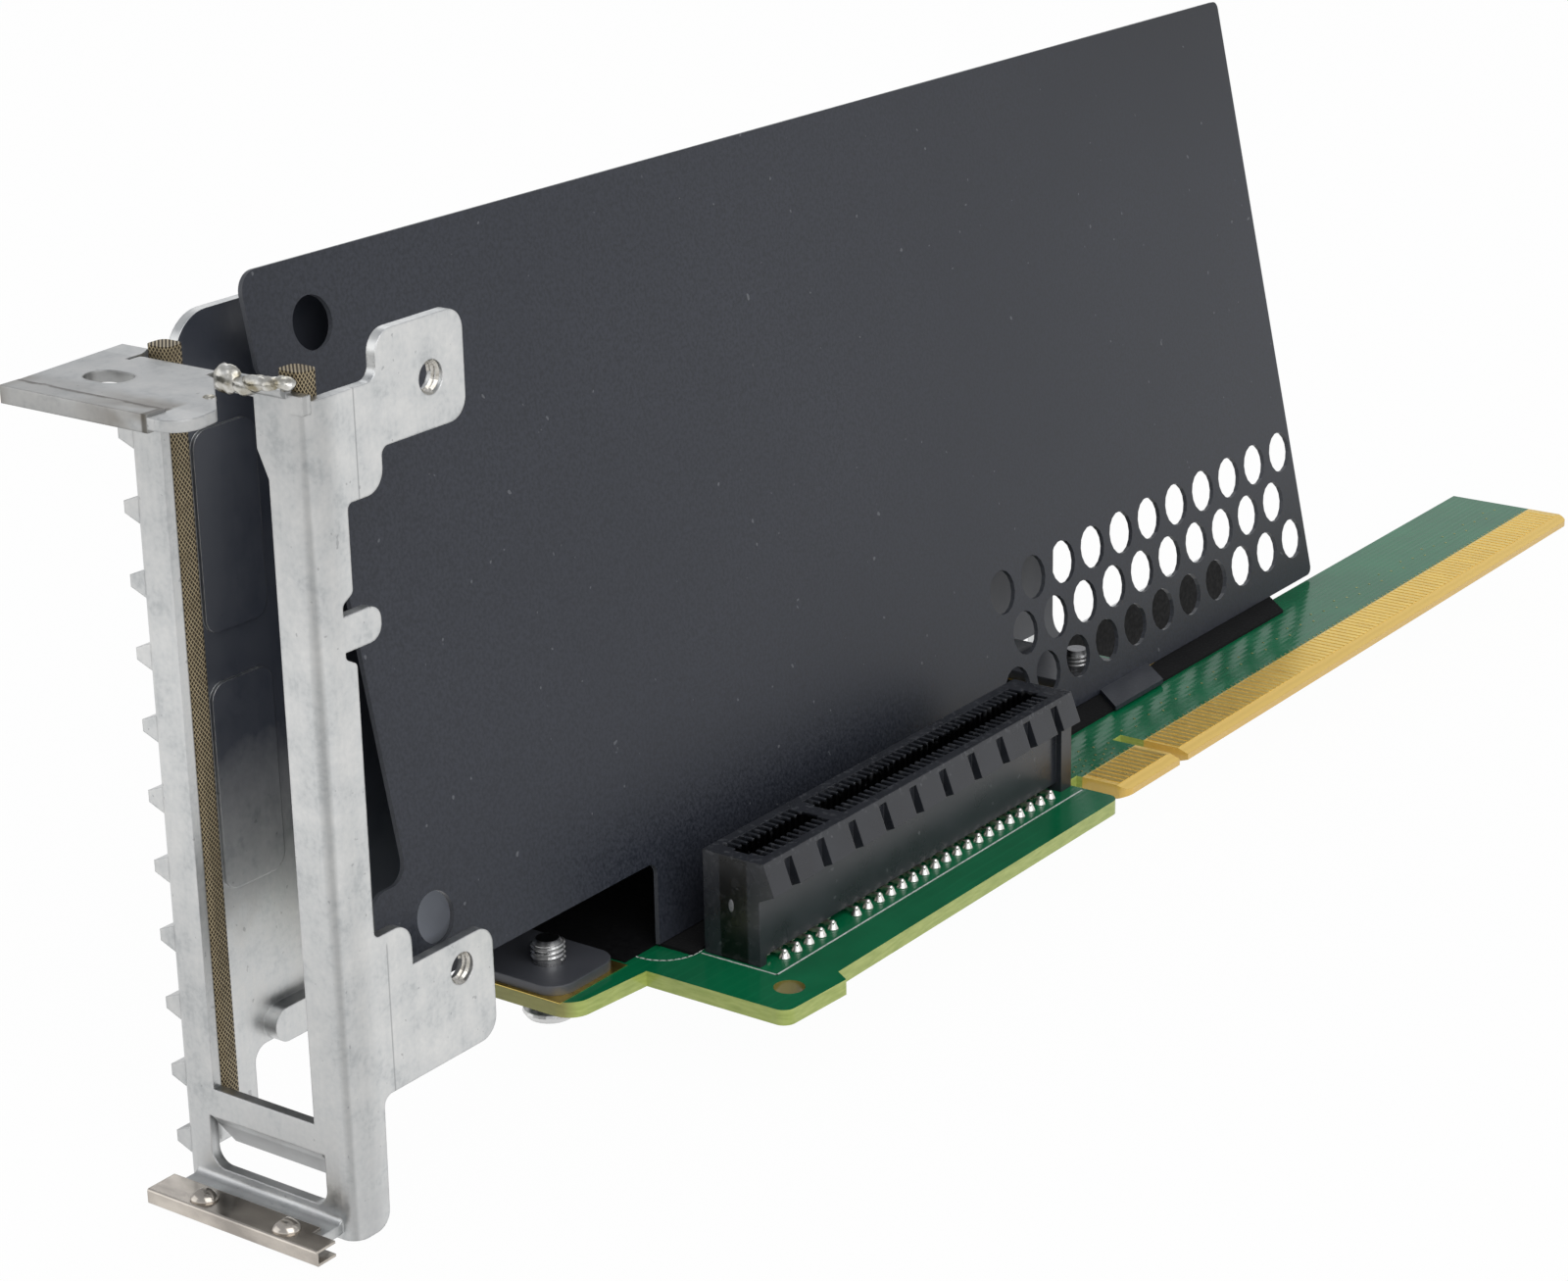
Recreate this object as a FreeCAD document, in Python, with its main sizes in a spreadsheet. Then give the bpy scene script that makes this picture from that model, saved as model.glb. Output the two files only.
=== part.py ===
import FreeCAD, Part
import os
import re

import Sketcher
from FreeCAD import Vector

# Riser card: a bus slot on a board with a long gold edge, carried by a folded steel cage with an
# opening for a card bracket, and screened from its neighbour by a leaning insulating film.
# Origin: slot centreline, first contact, board top. +X to the gold edge, +Y along the slot
# away from the bracket opening, +Z up. Millimetres.

SIZES = {
    # Printed board
    "board_thickness": (1.57, "Board"),
    "board_left": (20.6, "Slot centreline to the board's wide left edge"),
    "board_front": (18.5, "First contact to the board's front edge"),
    "board_foot": (6.6, "Slot centreline to the right end of the front edge"),
    "board_shelf": (8.6, "First contact to the edge in front of the slot"),
    "board_nose": (11.2, "Slot centreline to the board's widest right edge"),
    "board_side": (9.6, "Slot centreline to the right edge beside the slot"),
    "board_side_end": (53.3, "First contact to the end of the right edge"),
    "board_narrow": (7.4, "Slot centreline to the left edge of the narrow part"),
    "board_wide_end": (90.0, "First contact to the end of the wide left part"),
    "board_length": (169.0, "First contact to the far end"),
    "board_corner": (1.3, "Corner radius"),
    "board_round": (2.4, "Radius of its front corners"),
    "tongue_start": (56.0, "First contact to the near end of the gold tongue"),
    "tongue_edge": (8.9, "Slot centreline to the outer edge of the gold tongue"),
    "tongue_root": (2.6, "Slot centreline to the root of the relief before the tongue"),
    "tongue_key": (68.1, "First contact to the middle of the key notch"),
    "key_width": (1.8, "Key notch width"),
    "key_root": (0.4, "Slot centreline to the bottom of the key notch"),
    "bevel_reach": (1.3, "Lead-in bevel across the tongue"),
    "bevel_depth": (0.45, "Lead-in bevel into the thickness"),
    "finger_pitch": (1.0, "Edge finger pitch"),
    "finger_width": (0.7, "Edge finger width"),
    "finger_length": (4.1, "Edge finger length"),
    "finger_thickness": (0.05, "Plated copper"),
    "tooling_hole": (3.0, "Mounting hole diameter"),
    "tooling_x": (7.7, "Slot centreline to the mounting hole"),
    "tooling_y": (4.0, "Mounting hole in front of the first contact"),
    # Bus slot
    "contact_pitch": (1.0, "Contact pitch along the slot"),
    "short_group": (11, "Contacts on one side before the key"),
    "long_group": (38, "Contacts on one side after the key"),
    "group_step": (3.0, "Last contact before the key to the first one after it"),
    "slot_lead": (2.1, "Housing end to the first contact"),
    "slot_length": (55.2, "Housing length"),
    "slot_height": (10.7, "Housing height above the board"),
    "slot_half": (3.55, "Half width of the housing's top"),
    "slot_body": (3.0, "Slot centreline to the recessed side wall"),
    "slot_standoff": (0.95, "Housing floor above the board between its feet"),
    "slot_foot": (1.0, "Foot length along the slot"),
    "slot_post": (3.65, "Slot centreline to the far foot's outer face"),
    "skirt_reach": (4.75, "Slot centreline to the flared skirt's edge"),
    "skirt_drop": (3.1, "Top to the skirt's edge"),
    "skirt_under": (0.85, "Skirt's edge to its root on the side wall"),
    "skirt_slots": (10, "Slits in the skirt"),
    "skirt_slot_width": (1.3, "Slit width"),
    "skirt_slot_start": (0.9, "First contact to the first slit"),
    "skirt_slot_pitch": (5.3, "Slit pitch"),
    "card_gap": (1.9, "Width of the card's slot"),
    "card_depth": (8.3, "Depth of the card's slot"),
    "card_margin": (0.8, "Card slot past the first and last contact"),
    "cavity_width": (0.66, "Contact cavity along the slot"),
    "cavity_reach": (2.45, "Slot centreline to the outer wall of a cavity"),
    "contact_width": (0.5, "Contact strip width"),
    "contact_stock": (0.3, "Contact strip thickness"),
    "contact_top": (2.4, "Housing top to the contact's tip"),
    "contact_bow": (0.7, "Slot centreline to the contact's bow"),
    "tail_outer": (3.59, "Slot centreline to the outer row of tails"),
    "tail_inner": (1.7, "Slot centreline to the inner row of tails"),
    "tail_length": (1.1, "Tails below the board"),
    "tail_hole": (0.7, "Side of the opening left for a tail and its solder"),
    # Folded steel cage
    "sheet": (1.0, "Cage steel"),
    "face_offset": (50.0, "First contact to the bracket's front face"),
    "wall_offset": (26.0, "Slot centreline to the wall's outer face"),
    "flange_offset": (5.5, "Slot centreline to the flange's outer face"),
    "bend_radius": (1.6, "Outer radius of the folds"),
    "face_top": (66.0, "Top of the bracket face"),
    "face_drop": (9.3, "Bottom of the bracket face below the board top"),
    "leg_drop": (7.2, "Bottom of the wall's front leg below the board top"),
    "window_margin": (4.3, "Wall's outer face to the bracket window"),
    "window_width": (12.0, "Bracket window width"),
    "window_sill": (0.5, "Window sill above the board top"),
    "window_neck": (1.1, "Narrowing of the window's top"),
    "window_neck_height": (5.0, "Height of the narrow top"),
    "sill_height": (2.7, "Bar under the window"),
    "tongue_slot_width": (13.8, "Slot for the bracket's tongue"),
    "tongue_slot_height": (5.0, "Its height in the flat sheet"),
    "guide_depth": (2.2, "Guide lip behind the face"),
    "guide_drop": (3.6, "Guide lip below the bar"),
    "wall_top": (68.7, "Top of the wall above the board top"),
    "wall_setback": (5.4, "Wall's upper front corner behind the face"),
    "wall_relief": (64.3, "Height of that setback's foot"),
    "wall_corner": (4.0, "Radius of the wall's upper corners"),
    "wall_end": (96.0, "First contact to the end of the tall wall"),
    "leg_width": (8.6, "Leg of the wall behind the face"),
    "rail_start": (92.0, "First contact to the front of the rear rail"),
    "rail_end": (140.0, "First contact to the end of the rear rail"),
    "rail_top": (2.2, "Top of the rail below the board top"),
    "rail_height": (4.4, "Rear rail height"),
    "rail_corner": (2.0, "Rear rail end radius"),
    "panel_length": (7.5, "Pressed panel along the wall"),
    "panel_start": (6.3, "Face to the pressed panels"),
    "panel_depth": (0.45, "Pressed panel depth"),
    "panel_sill": (16.3, "Lower panel's bottom edge"),
    "panel_height": (19.4, "Lower panel's height"),
    "panel_gap": (4.6, "Between the two panels"),
    "panel_upper_height": (18.2, "Upper panel's height"),
    "bead_reach": (1.5, "Stiffening bead inside the wall"),
    "bead_height": (3.4, "Stiffening bead height"),
    "bead_length": (20.0, "Stiffening bead length"),
    "bump_count": (11, "Contact bumps on the wall"),
    "bump_pitch": (6.55, "Contact bump pitch"),
    "bump_height": (2.5, "Contact bump height"),
    "bump_reach": (1.2, "Contact bump outside the wall"),
    "bump_length": (4.4, "Contact bump along the wall"),
    "bump_first": (7.0, "Lowest bump's foot below the board top"),
    # Flange and its ears
    "flange_depth": (4.5, "Flange behind the face"),
    "flange_drop": (9.9, "Bottom of the flange below the board top"),
    "flange_top": (65.4, "Top of the flange"),
    "ear_root": (8.8, "Face to the root of the ears"),
    "ear_reach": (19.6, "Face to the end of the ears"),
    "ear_corner": (2.0, "Ear corner radius"),
    "upper_ear_top": (69.4, "Top of the upper ear"),
    "upper_ear_height": (9.7, "Upper ear height"),
    "upper_ear_gusset": (3.7, "Gusset under the upper ear"),
    "lower_ear_top": (13.2, "Top of the lower ear"),
    "lower_ear_height": (10.8, "Lower ear height"),
    "lower_ear_gusset": (4.1, "Gusset on the lower ear"),
    "ear_hole": (3.0, "Thread bore in the ears"),
    "ear_hole_setback": (15.4, "Face to the ear holes"),
    "upper_hole_height": (64.1, "Upper ear hole above the board top"),
    "lower_hole_height": (10.4, "Lower ear hole above the board top"),
    "collar_height": (0.8, "Extruded collar behind an ear hole"),
    "collar_wall": (0.6, "Extruded collar wall"),
    "finger_tab_height": (3.1, "Rounded tongue on the flange"),
    "finger_tab_level": (43.5, "Bottom of that tongue"),
    "finger_tab_reach": (7.7, "Face to the tip of that tongue"),
    "finger_tab_notch": (1.3, "Relief on both sides of that tongue"),
    # Top tab
    "tab_reach": (13.2, "Top tab in front of the face"),
    "tab_inner": (8.8, "Right side of the bevelled corner from the flange's outer face"),
    "tab_corner": (2.4, "Tab's rounded corner"),
    "tab_ear": (1.2, "Tab's rear corner outside the wall and behind the face"),
    "hem_width": (2.1, "Hem under the tab's front edge"),
    "hem_length": (16.4, "Hem length"),
    "hem_ridge": (0.2, "Hem's ridge above the tab"),
    "hem_height": (1.5, "Hem height"),
    "top_bead": (0.7, "Radius of the beads on the face's top edge"),
    "tab_hole_length": (4.6, "Hole in the tab across the bracket"),
    "tab_hole_width": (3.2, "Hole in the tab along the slot"),
    "tab_hole_margin": (3.1, "Wall's outer face to the tab hole"),
    "tab_hole_setback": (4.6, "Face to the tab hole"),
    # Board tabs and screws
    "foot_tab_width": (9.4, "Tab on the board, along the wall"),
    "front_tab_start": (18.3, "Front tab in front of the first contact"),
    "front_tab_edge": (8.4, "Slot centreline to the front tab's end"),
    "rear_tab_start": (77.6, "First contact to the rear tab"),
    "rear_tab_edge": (9.4, "Slot centreline to the rear tab's end"),
    "pad_thickness": (0.05, "Bare copper pad under a tab"),
    "pad_margin": (0.5, "Pad past its tab"),
    "screw_diameter": (3.0, "Board screw thread"),
    "screw_offset": (13.4, "Slot centreline to the board screws"),
    "screw_play": (0.4, "Board hole past the thread"),
    "screw_fit": (0.04, "Tab hole past the thread"),
    "screw_stub": (2.4, "Thread above its tab"),
    "head_diameter": (5.6, "Screw head"),
    "head_height": (2.0, "Screw head height"),
    "recess_width": (0.9, "Cross recess arm"),
    "recess_depth": (1.1, "Cross recess depth"),
    # Bottom flange and its spring clip
    "lip_reach": (5.0, "Bottom flange in front of the face"),
    "clip_stock": (0.25, "Clip strip"),
    "clip_gap": (0.1, "Clip clearance to the flange's end"),
    "clip_length": (20.2, "Clip length"),
    "clip_sleeve": (2.6, "Narrow sleeve at the clip's right end"),
    "clip_depth": (3.4, "Clip depth over the flange"),
    "clip_bump": (1.2, "Raised contact on the clip"),
    "clip_bump_step": (9.8, "Between the two raised contacts"),
    # Gaskets
    "gasket_depth": (2.2, "Gasket behind the face"),
    "gasket_inset": (1.1, "Wall to the left gasket"),
    "left_gasket_width": (2.5, "Gasket beside the wall"),
    "right_gasket_width": (2.7, "Gasket beside the flange"),
    "gasket_top": (67.6, "Top of the gaskets"),
    "gasket_corner": (0.7, "Gasket corner radius"),
    # Insulating film
    "film_thickness": (0.5, "Film"),
    "film_angle": (11.03, "Lean of the film from upright, degrees"),
    "film_foot_x": (7.6, "Slot centreline to the film's foot"),
    "film_lift": (0.3, "Film's edge above the board"),
    "film_front": (39.9, "Film's front edge in front of the first contact"),
    "film_rear_low": (129.2, "First contact to the film's rear edge, foot"),
    "film_rear_high": (126.4, "First contact to the film's rear edge, top"),
    "film_front_height": (73.3, "Film height at its front edge"),
    "film_rear_height": (72.0, "Film height at its rear edge"),
    "film_corner": (2.0, "Film corner radius"),
    "film_step": (8.2, "Film's raised front part above the board"),
    "film_step_end": (1.9, "Raised part's end in front of the first contact"),
    "film_step_slant": (1.9, "Slant of the step below it"),
    "film_recess": (5.0, "Recess in the film's front edge"),
    "film_recess_low": (18.0, "Recess bottom above the board"),
    "film_recess_high": (63.5, "Recess top above the board"),
    "film_hole": (4.8, "Fixing hole in the film"),
    "film_hole_setback": (7.4, "Film's front edge to the fixing holes"),
    "film_hole_low": (13.6, "Lower fixing hole above the board"),
    "film_hole_high": (67.5, "Upper fixing hole above the board"),
    "vent_diameter": (4.9, "Vent hole"),
    "vent_pitch": (6.33, "Vent pitch"),
    "vent_columns": (11, "Vents in the long rows"),
    "vent_start": (62.3, "First contact to the first vent"),
    "vent_low": (5.8, "Lowest vent row along the film"),
    "vent_sides": (16, "Sides of a vent's outline"),
    "flap_edge": (3.5, "Slot centreline to the edge of the film's folded flap"),
    "flap_start": (78.6, "First contact to the flap along the fold"),
    "flap_length": (10.6, "Flap along the fold"),
    "flap_slant": (4.1, "Slant of the flap's ends"),
    "tape_edge": (4.05, "Slot centreline to the edge of the foam tape under the film"),
    "tape_start": (3.4, "Foam tape in front of the first contact"),
    "tape_end": (119.0, "First contact to the end of the foam tape"),
    "tape_slant": (4.0, "Slant of the tape's far end"),
}

doc = FreeCAD.newDocument("riser_card")
sheet = doc.addObject("Spreadsheet::Sheet", "Sizes")
for row, (alias, (size, meaning)) in enumerate(SIZES.items(), start=1):
    sheet.set(f"A{row}", meaning)
    sheet.set(f"B{row}", str(size))
    sheet.setAlias(f"B{row}", alias)
doc.recompute()


def linked(formula):
    """The formula with every size's name pointing at its cell of the sheet."""
    def cell(word):
        return "Sizes." + word.group(0) if word.group(0) in SIZES else word.group(0)
    return re.sub(r"[a-z][a-z_]+", cell, str(formula))


def value(formula):
    """The formula's number, for choosing edges and for shapes made by Part's own functions."""
    return float(sheet.evalExpression(linked(formula)))


def bind(item, **formulas):
    """Bind properties to formulas; x, y and z stand for the placement's base."""
    for name, formula in formulas.items():
        path = f".Placement.Base.{name}" if name in ("x", "y", "z") else name
        item.setExpression(path, linked(formula))
    return item


def box(name, x, y, z, length, width, height):
    """A block from its low corner, bound to the sheet."""
    item = doc.addObject("Part::Box", name)
    return bind(item, x=x, y=y, z=z, Length=length, Width=width, Height=height)


def rod(name, x, y, z, radius, height, axis="z"):
    """A cylinder along z, or turned along +x or +y."""
    item = doc.addObject("Part::Cylinder", name)
    bind(item, x=x, y=y, z=z, Radius=radius, Height=height)
    if axis == "x":
        item.Placement.Rotation = FreeCAD.Rotation(Vector(0, 1, 0), 90)
    if axis == "y":
        item.Placement.Rotation = FreeCAD.Rotation(Vector(1, 0, 0), -90)
    return item


def fuse(name, items):
    item = doc.addObject("Part::MultiFuse", name)
    item.Shapes = items
    item.Refine = True
    return item


def cut(name, base, tools):
    item = doc.addObject("Part::Cut", name)
    item.Base = base
    item.Tool = tools[0] if len(tools) == 1 else fuse(name + "_tools", tools)
    item.Refine = True
    return item


def new_body(label):
    """An empty body that may hold several loose solids."""
    body = doc.addObject("PartDesign::Body", label)
    body.Label = label
    body.AllowCompound = True
    return body


def new_sketch(body, name, plane, offset="0"):
    """A sketch on one of the body's own origin planes, moved along its normal."""
    sketch = body.newObject("Sketcher::SketchObject", name)
    support = [item for item in body.Origin.OriginFeatures if item.Role == plane + "_Plane"]
    sketch.AttachmentSupport = [(support[0], "")]
    sketch.MapMode = "FlatFace"
    sketch.setExpression(".AttachmentOffset.Base.z", linked(offset))
    return sketch


def draw_outline(sketch, corners):
    """Draw a closed outline and bind each corner's two coordinates to the sheet."""
    places = [Vector(value(corner[0]), value(corner[1]), 0) for corner in corners]
    first = sketch.GeometryCount
    for number, place in enumerate(places):
        sketch.addGeometry(Part.LineSegment(place, places[(number + 1) % len(places)]), False)
    for number, corner in enumerate(corners):
        line = first + number
        following = first + (number + 1) % len(corners)
        sketch.addConstraint(Sketcher.Constraint("Coincident", line, 2, following, 1))
        for kind, distance, formula in (
            ("DistanceX", places[number].x, corner[0]),
            ("DistanceY", places[number].y, corner[1]),
        ):
            index = sketch.addConstraint(Sketcher.Constraint(kind, -1, 1, line, 1, distance))
            sketch.setExpression(f"Constraints[{index}]", linked(formula))


def draw_circle(sketch, x, y, diameter):
    """Draw a circle bound to the sheet."""
    centre = Vector(value(x), value(y), 0)
    ring = sketch.addGeometry(Part.Circle(centre, Vector(0, 0, 1), value(diameter) / 2), False)
    for kind, distance, formula in (("DistanceX", centre.x, x), ("DistanceY", centre.y, y)):
        index = sketch.addConstraint(Sketcher.Constraint(kind, -1, 1, ring, 3, distance))
        sketch.setExpression(f"Constraints[{index}]", linked(formula))
    index = sketch.addConstraint(Sketcher.Constraint("Diameter", ring, value(diameter)))
    sketch.setExpression(f"Constraints[{index}]", linked(diameter))


def draw_ring(sketch, x, y, diameter, sides):
    """Draw a regular polygon with about a circle's area, bound to the sheet."""
    corners = []
    for number in range(sides):
        turn = f"{360 * (number + 0.5) / sides} deg"
        corners.append((
            f"{x} + {diameter} / 2 * cos({turn})",
            f"{y} + {diameter} / 2 * sin({turn})",
        ))
    draw_outline(sketch, corners)


def pad(body, name, sketch, length):
    item = body.newObject("PartDesign::Pad", name)
    item.Profile = sketch
    item.setExpression("Length", linked(length))
    return item


def pocket(body, name, sketch, length=None, reverse=False):
    """Cut a sketch into the body, or right through it both ways when no length is given."""
    item = body.newObject("PartDesign::Pocket", name)
    item.Profile = sketch
    item.Reversed = reverse
    if length is None:
        item.Type = "ThroughAll"
        item.Midplane = True
    else:
        item.setExpression("Length", linked(length))
    return item


def row_of(body, name, feature, sketch, axis, count, span):
    """Repeat a feature along an axis of its sketch, with the count and the span from the sheet."""
    item = body.newObject("PartDesign::LinearPattern", name)
    item.Originals = [feature]
    item.Direction = (sketch, [axis])
    item.setExpression("Occurrences", linked(count))
    item.setExpression("Length", linked(span))
    body.Tip = item
    return item


def rounded_pad(name, plane, corners, offset, depth):
    """A body padded from an outline whose corners (across, up, radius) are rounded afterwards."""
    body = new_body(name)
    sketch = new_sketch(body, name + "_outline", plane, offset)
    draw_outline(sketch, corners)
    solid = pad(body, name + "_pad", sketch, depth)
    doc.recompute()
    normal = sketch.Placement.Rotation.multVec(Vector(0, 0, 1))
    radii = sorted({corner[2] for corner in corners if len(corner) > 2})
    for order, radius in enumerate(radii):
        marks = [corner for corner in corners if len(corner) > 2 and corner[2] == radius]
        spots = [Vector(value(mark[0]), value(mark[1]), 0) for mark in marks]
        ends = [sketch.Placement.multVec(spot) for spot in spots]
        names = [
            f"Edge{number}"
            for number, edge in enumerate(solid.Shape.Edges, start=1)
            if len(edge.Vertexes) == 2
            and abs(edge.tangentAt(edge.FirstParameter).dot(normal)) > 0.999
            and any((edge.Vertexes[0].Point - end).cross(normal).Length < 1e-4 for end in ends)
        ]
        rounding = body.newObject("PartDesign::Fillet", f"{name}_round_{order}")
        rounding.Base = (solid, names)
        rounding.setExpression("Radius", linked(radius))
        body.Tip = rounding
        doc.recompute()
        solid = rounding
    return body


# Places that several pieces share
FACE = "(-face_offset)"
WALL = "(-wall_offset)"
WALL_INSIDE = "(-wall_offset + sheet)"
FLANGE = "(-flange_offset)"
FLANGE_INSIDE = "(-flange_offset - sheet)"
WINDOW_LEFT = "(-wall_offset + window_margin)"
WINDOW_RIGHT = "(-wall_offset + window_margin + window_width)"
SILL_FOOT = "(window_sill - sill_height)"
SECOND_GROUP = "((short_group - 1) * contact_pitch + group_step)"
LAST_CONTACT = "((short_group + long_group - 2) * contact_pitch + group_step)"
HOUSING_END = "(slot_length - slot_lead)"
TAB_TOP = "(pad_thickness + sheet)"
FRONT_SCREW = "(-front_tab_start + foot_tab_width / 2)"
REAR_SCREW = "(rear_tab_start + foot_tab_width / 2)"


def make_board():
    """Printed board: outline, lead-in bevels, key notch, mounting hole and plated holes."""
    body = rounded_pad("riser_board", "XY", [
        ("-board_left", "-board_front", "board_round"),
        ("-board_foot", "-board_front", "board_round"),
        ("-board_foot + 1", "-board_shelf"),
        ("board_nose - 0.5", "-board_shelf", "board_corner"),
        ("board_nose", "0.3"),
        ("board_side", "1.3"),
        ("board_side", "board_side_end", "board_corner"),
        ("tongue_root", "board_side_end"),
        ("tongue_root", "tongue_start"),
        ("tongue_edge", "tongue_start", "board_corner"),
        ("tongue_edge", "tongue_key - key_width / 2"),
        ("key_root", "tongue_key - key_width / 2"),
        ("key_root", "tongue_key + key_width / 2"),
        ("tongue_edge", "tongue_key + key_width / 2"),
        ("tongue_edge", "board_length", "board_corner"),
        ("-board_narrow", "board_length"),
        ("-board_narrow", "board_wide_end"),
        ("-board_left", "board_wide_end", "board_corner"),
    ], "-board_thickness", "board_thickness")
    bevel = new_sketch(body, "bevel_section", "XZ", "-board_length - 1")
    low = "-board_thickness"
    draw_outline(bevel, [
        ("tongue_edge - bevel_reach", "0"),
        ("tongue_edge", "-bevel_depth"),
        ("tongue_edge + 1", "-bevel_depth"),
        ("tongue_edge + 1", "0.5"),
        ("tongue_edge - bevel_reach", "0.5"),
    ])
    draw_outline(bevel, [
        ("tongue_edge - bevel_reach", low),
        ("tongue_edge - bevel_reach", low + " - 0.5"),
        ("tongue_edge + 1", low + " - 0.5"),
        ("tongue_edge + 1", low + " + bevel_depth"),
        ("tongue_edge", low + " + bevel_depth"),
    ])
    body.Tip = pocket(body, "bevels", bevel, "board_length + 1 - tongue_start + 0.5", True)
    holes = new_sketch(body, "hole_circles", "XY")
    draw_circle(holes, "tooling_x", "-tooling_y", "tooling_hole")
    for place in (FRONT_SCREW, REAR_SCREW):
        draw_circle(holes, "-screw_offset", place, "screw_diameter + screw_play")
    body.Tip = pocket(body, "screw_holes", holes)
    for row in ("outer", "inner"):
        for group_name, (start, count) in tail_rows(row).items():
            name = f"tail_holes_{row}_{group_name}"
            tails = new_sketch(body, name + "_outlines", "XY")
            near = f"{start} - tail_hole / 2"
            far = f"{start} + tail_hole / 2"
            for centre in (f"tail_{row}", f"-tail_{row}"):
                left = centre + " - tail_hole / 2"
                right = centre + " + tail_hole / 2"
                draw_outline(tails, [(left, near), (right, near), (right, far), (left, far)])
            first = pocket(body, name, tails)
            row_of(body, name + "_row", first, tails, "V_Axis", count, tail_span(count))
    return body


def tail_rows(row):
    """Start and count of the tails in a row, before and after the key; rows take turns."""
    if row == "inner":
        return {
            "short": ("0", "ceil(short_group / 2)"),
            "long": (SECOND_GROUP + " + contact_pitch", "floor(long_group / 2)"),
        }
    return {
        "short": ("contact_pitch", "floor(short_group / 2)"),
        "long": (SECOND_GROUP, "ceil(long_group / 2)"),
    }


def tail_span(count):
    return f"2 * contact_pitch * ({count} - 1)"


def make_fingers(label, level):
    """Plated edge fingers on one side of the tongue, before and after the key notch."""
    body = new_body(label)
    inner = "tongue_edge - bevel_reach - finger_length"
    before = "floor((tongue_key - key_width / 2 - tongue_start - 0.6) / finger_pitch)"
    after = "floor((board_length - tongue_key - key_width / 2 - 1) / finger_pitch)"
    for name, start, count in (
        ("short", "tongue_start + 0.8", before),
        ("long", "tongue_key + key_width / 2 + 0.4", after),
    ):
        sketch = new_sketch(body, f"{label}_{name}_outline", "XY", level)
        draw_outline(sketch, [
            (inner, start),
            (inner + " + finger_length", start),
            (inner + " + finger_length", start + " + finger_width"),
            (inner, start + " + finger_width"),
        ])
        first = pad(body, f"{label}_{name}", sketch, "finger_thickness")
        span = f"({count} - 1) * finger_pitch"
        row_of(body, f"{label}_{name}_row", first, sketch, "V_Axis", count, span)
    return body


def make_housing():
    """Slot housing: flared section, feet, card slot with its key, contact cavities, skirt slits."""
    body = new_body("slot_housing")
    section = new_sketch(body, "housing_section", "XZ", "slot_lead - slot_length")
    draw_outline(section, [
        ("-slot_half", "slot_standoff"),
        ("slot_body", "slot_standoff"),
        ("slot_body", "slot_height - skirt_drop - skirt_under"),
        ("skirt_reach", "slot_height - skirt_drop"),
        ("slot_half", "slot_height"),
        ("-slot_half", "slot_height"),
    ])
    pad(body, "housing_bar", section, "slot_length")
    for name, start, length, side in (
        ("near_foot", "-slot_lead", "slot_foot", "slot_body"),
        ("far_foot", HOUSING_END + " - 2 * slot_foot", "2 * slot_foot", "slot_post"),
    ):
        foot = new_sketch(body, name + "_outline", "XY")
        draw_outline(foot, [
            ("-slot_half", start),
            (side, start),
            (side, f"{start} + {length}"),
            ("-slot_half", f"{start} + {length}"),
        ])
        pad(body, name, foot, "slot_height - skirt_drop - skirt_under + 0.15")
    card = new_sketch(body, "card_slot", "XY", "slot_height")
    half = "card_gap / 2"
    key = "((short_group - 1) * contact_pitch + group_step / 2)"
    for start, end in (
        ("-card_margin", key + " - 0.85"),
        (key + " + 0.85", LAST_CONTACT + " + card_margin"),
    ):
        draw_outline(card, [("-" + half, start), (half, start), (half, end), ("-" + half, end)])
    body.Tip = pocket(body, "card_slots", card, "card_depth")
    for name, start, count in (
        ("short", "0", "short_group"),
        ("long", SECOND_GROUP, "long_group"),
    ):
        cells = new_sketch(body, f"cavities_{name}", "XY")
        near = start + " - cavity_width / 2"
        far = start + " + cavity_width / 2"
        for side in ("", "-"):
            inner = side + "(card_gap / 2 - 0.05)"
            outer = side + "cavity_reach"
            draw_outline(cells, [(inner, near), (outer, near), (outer, far), (inner, far)])
        first = pocket(body, f"cavity_{name}", cells)
        span = f"({count} - 1) * contact_pitch"
        row_of(body, f"cavity_row_{name}", first, cells, "V_Axis", count, span)
    slit = new_sketch(body, "skirt_slit", "XY", "slot_height - 0.5")
    start = "skirt_slot_start"
    draw_outline(slit, [
        ("slot_half - 0.1", start),
        ("skirt_reach + 1", start),
        ("skirt_reach + 1", start + " + skirt_slot_width"),
        ("slot_half - 0.1", start + " + skirt_slot_width"),
    ])
    first = pocket(body, "slit", slit, "skirt_drop + skirt_under")
    span = "(skirt_slots - 1) * skirt_slot_pitch"
    row_of(body, "slit_row", first, slit, "V_Axis", "skirt_slots", span)
    return body


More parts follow.
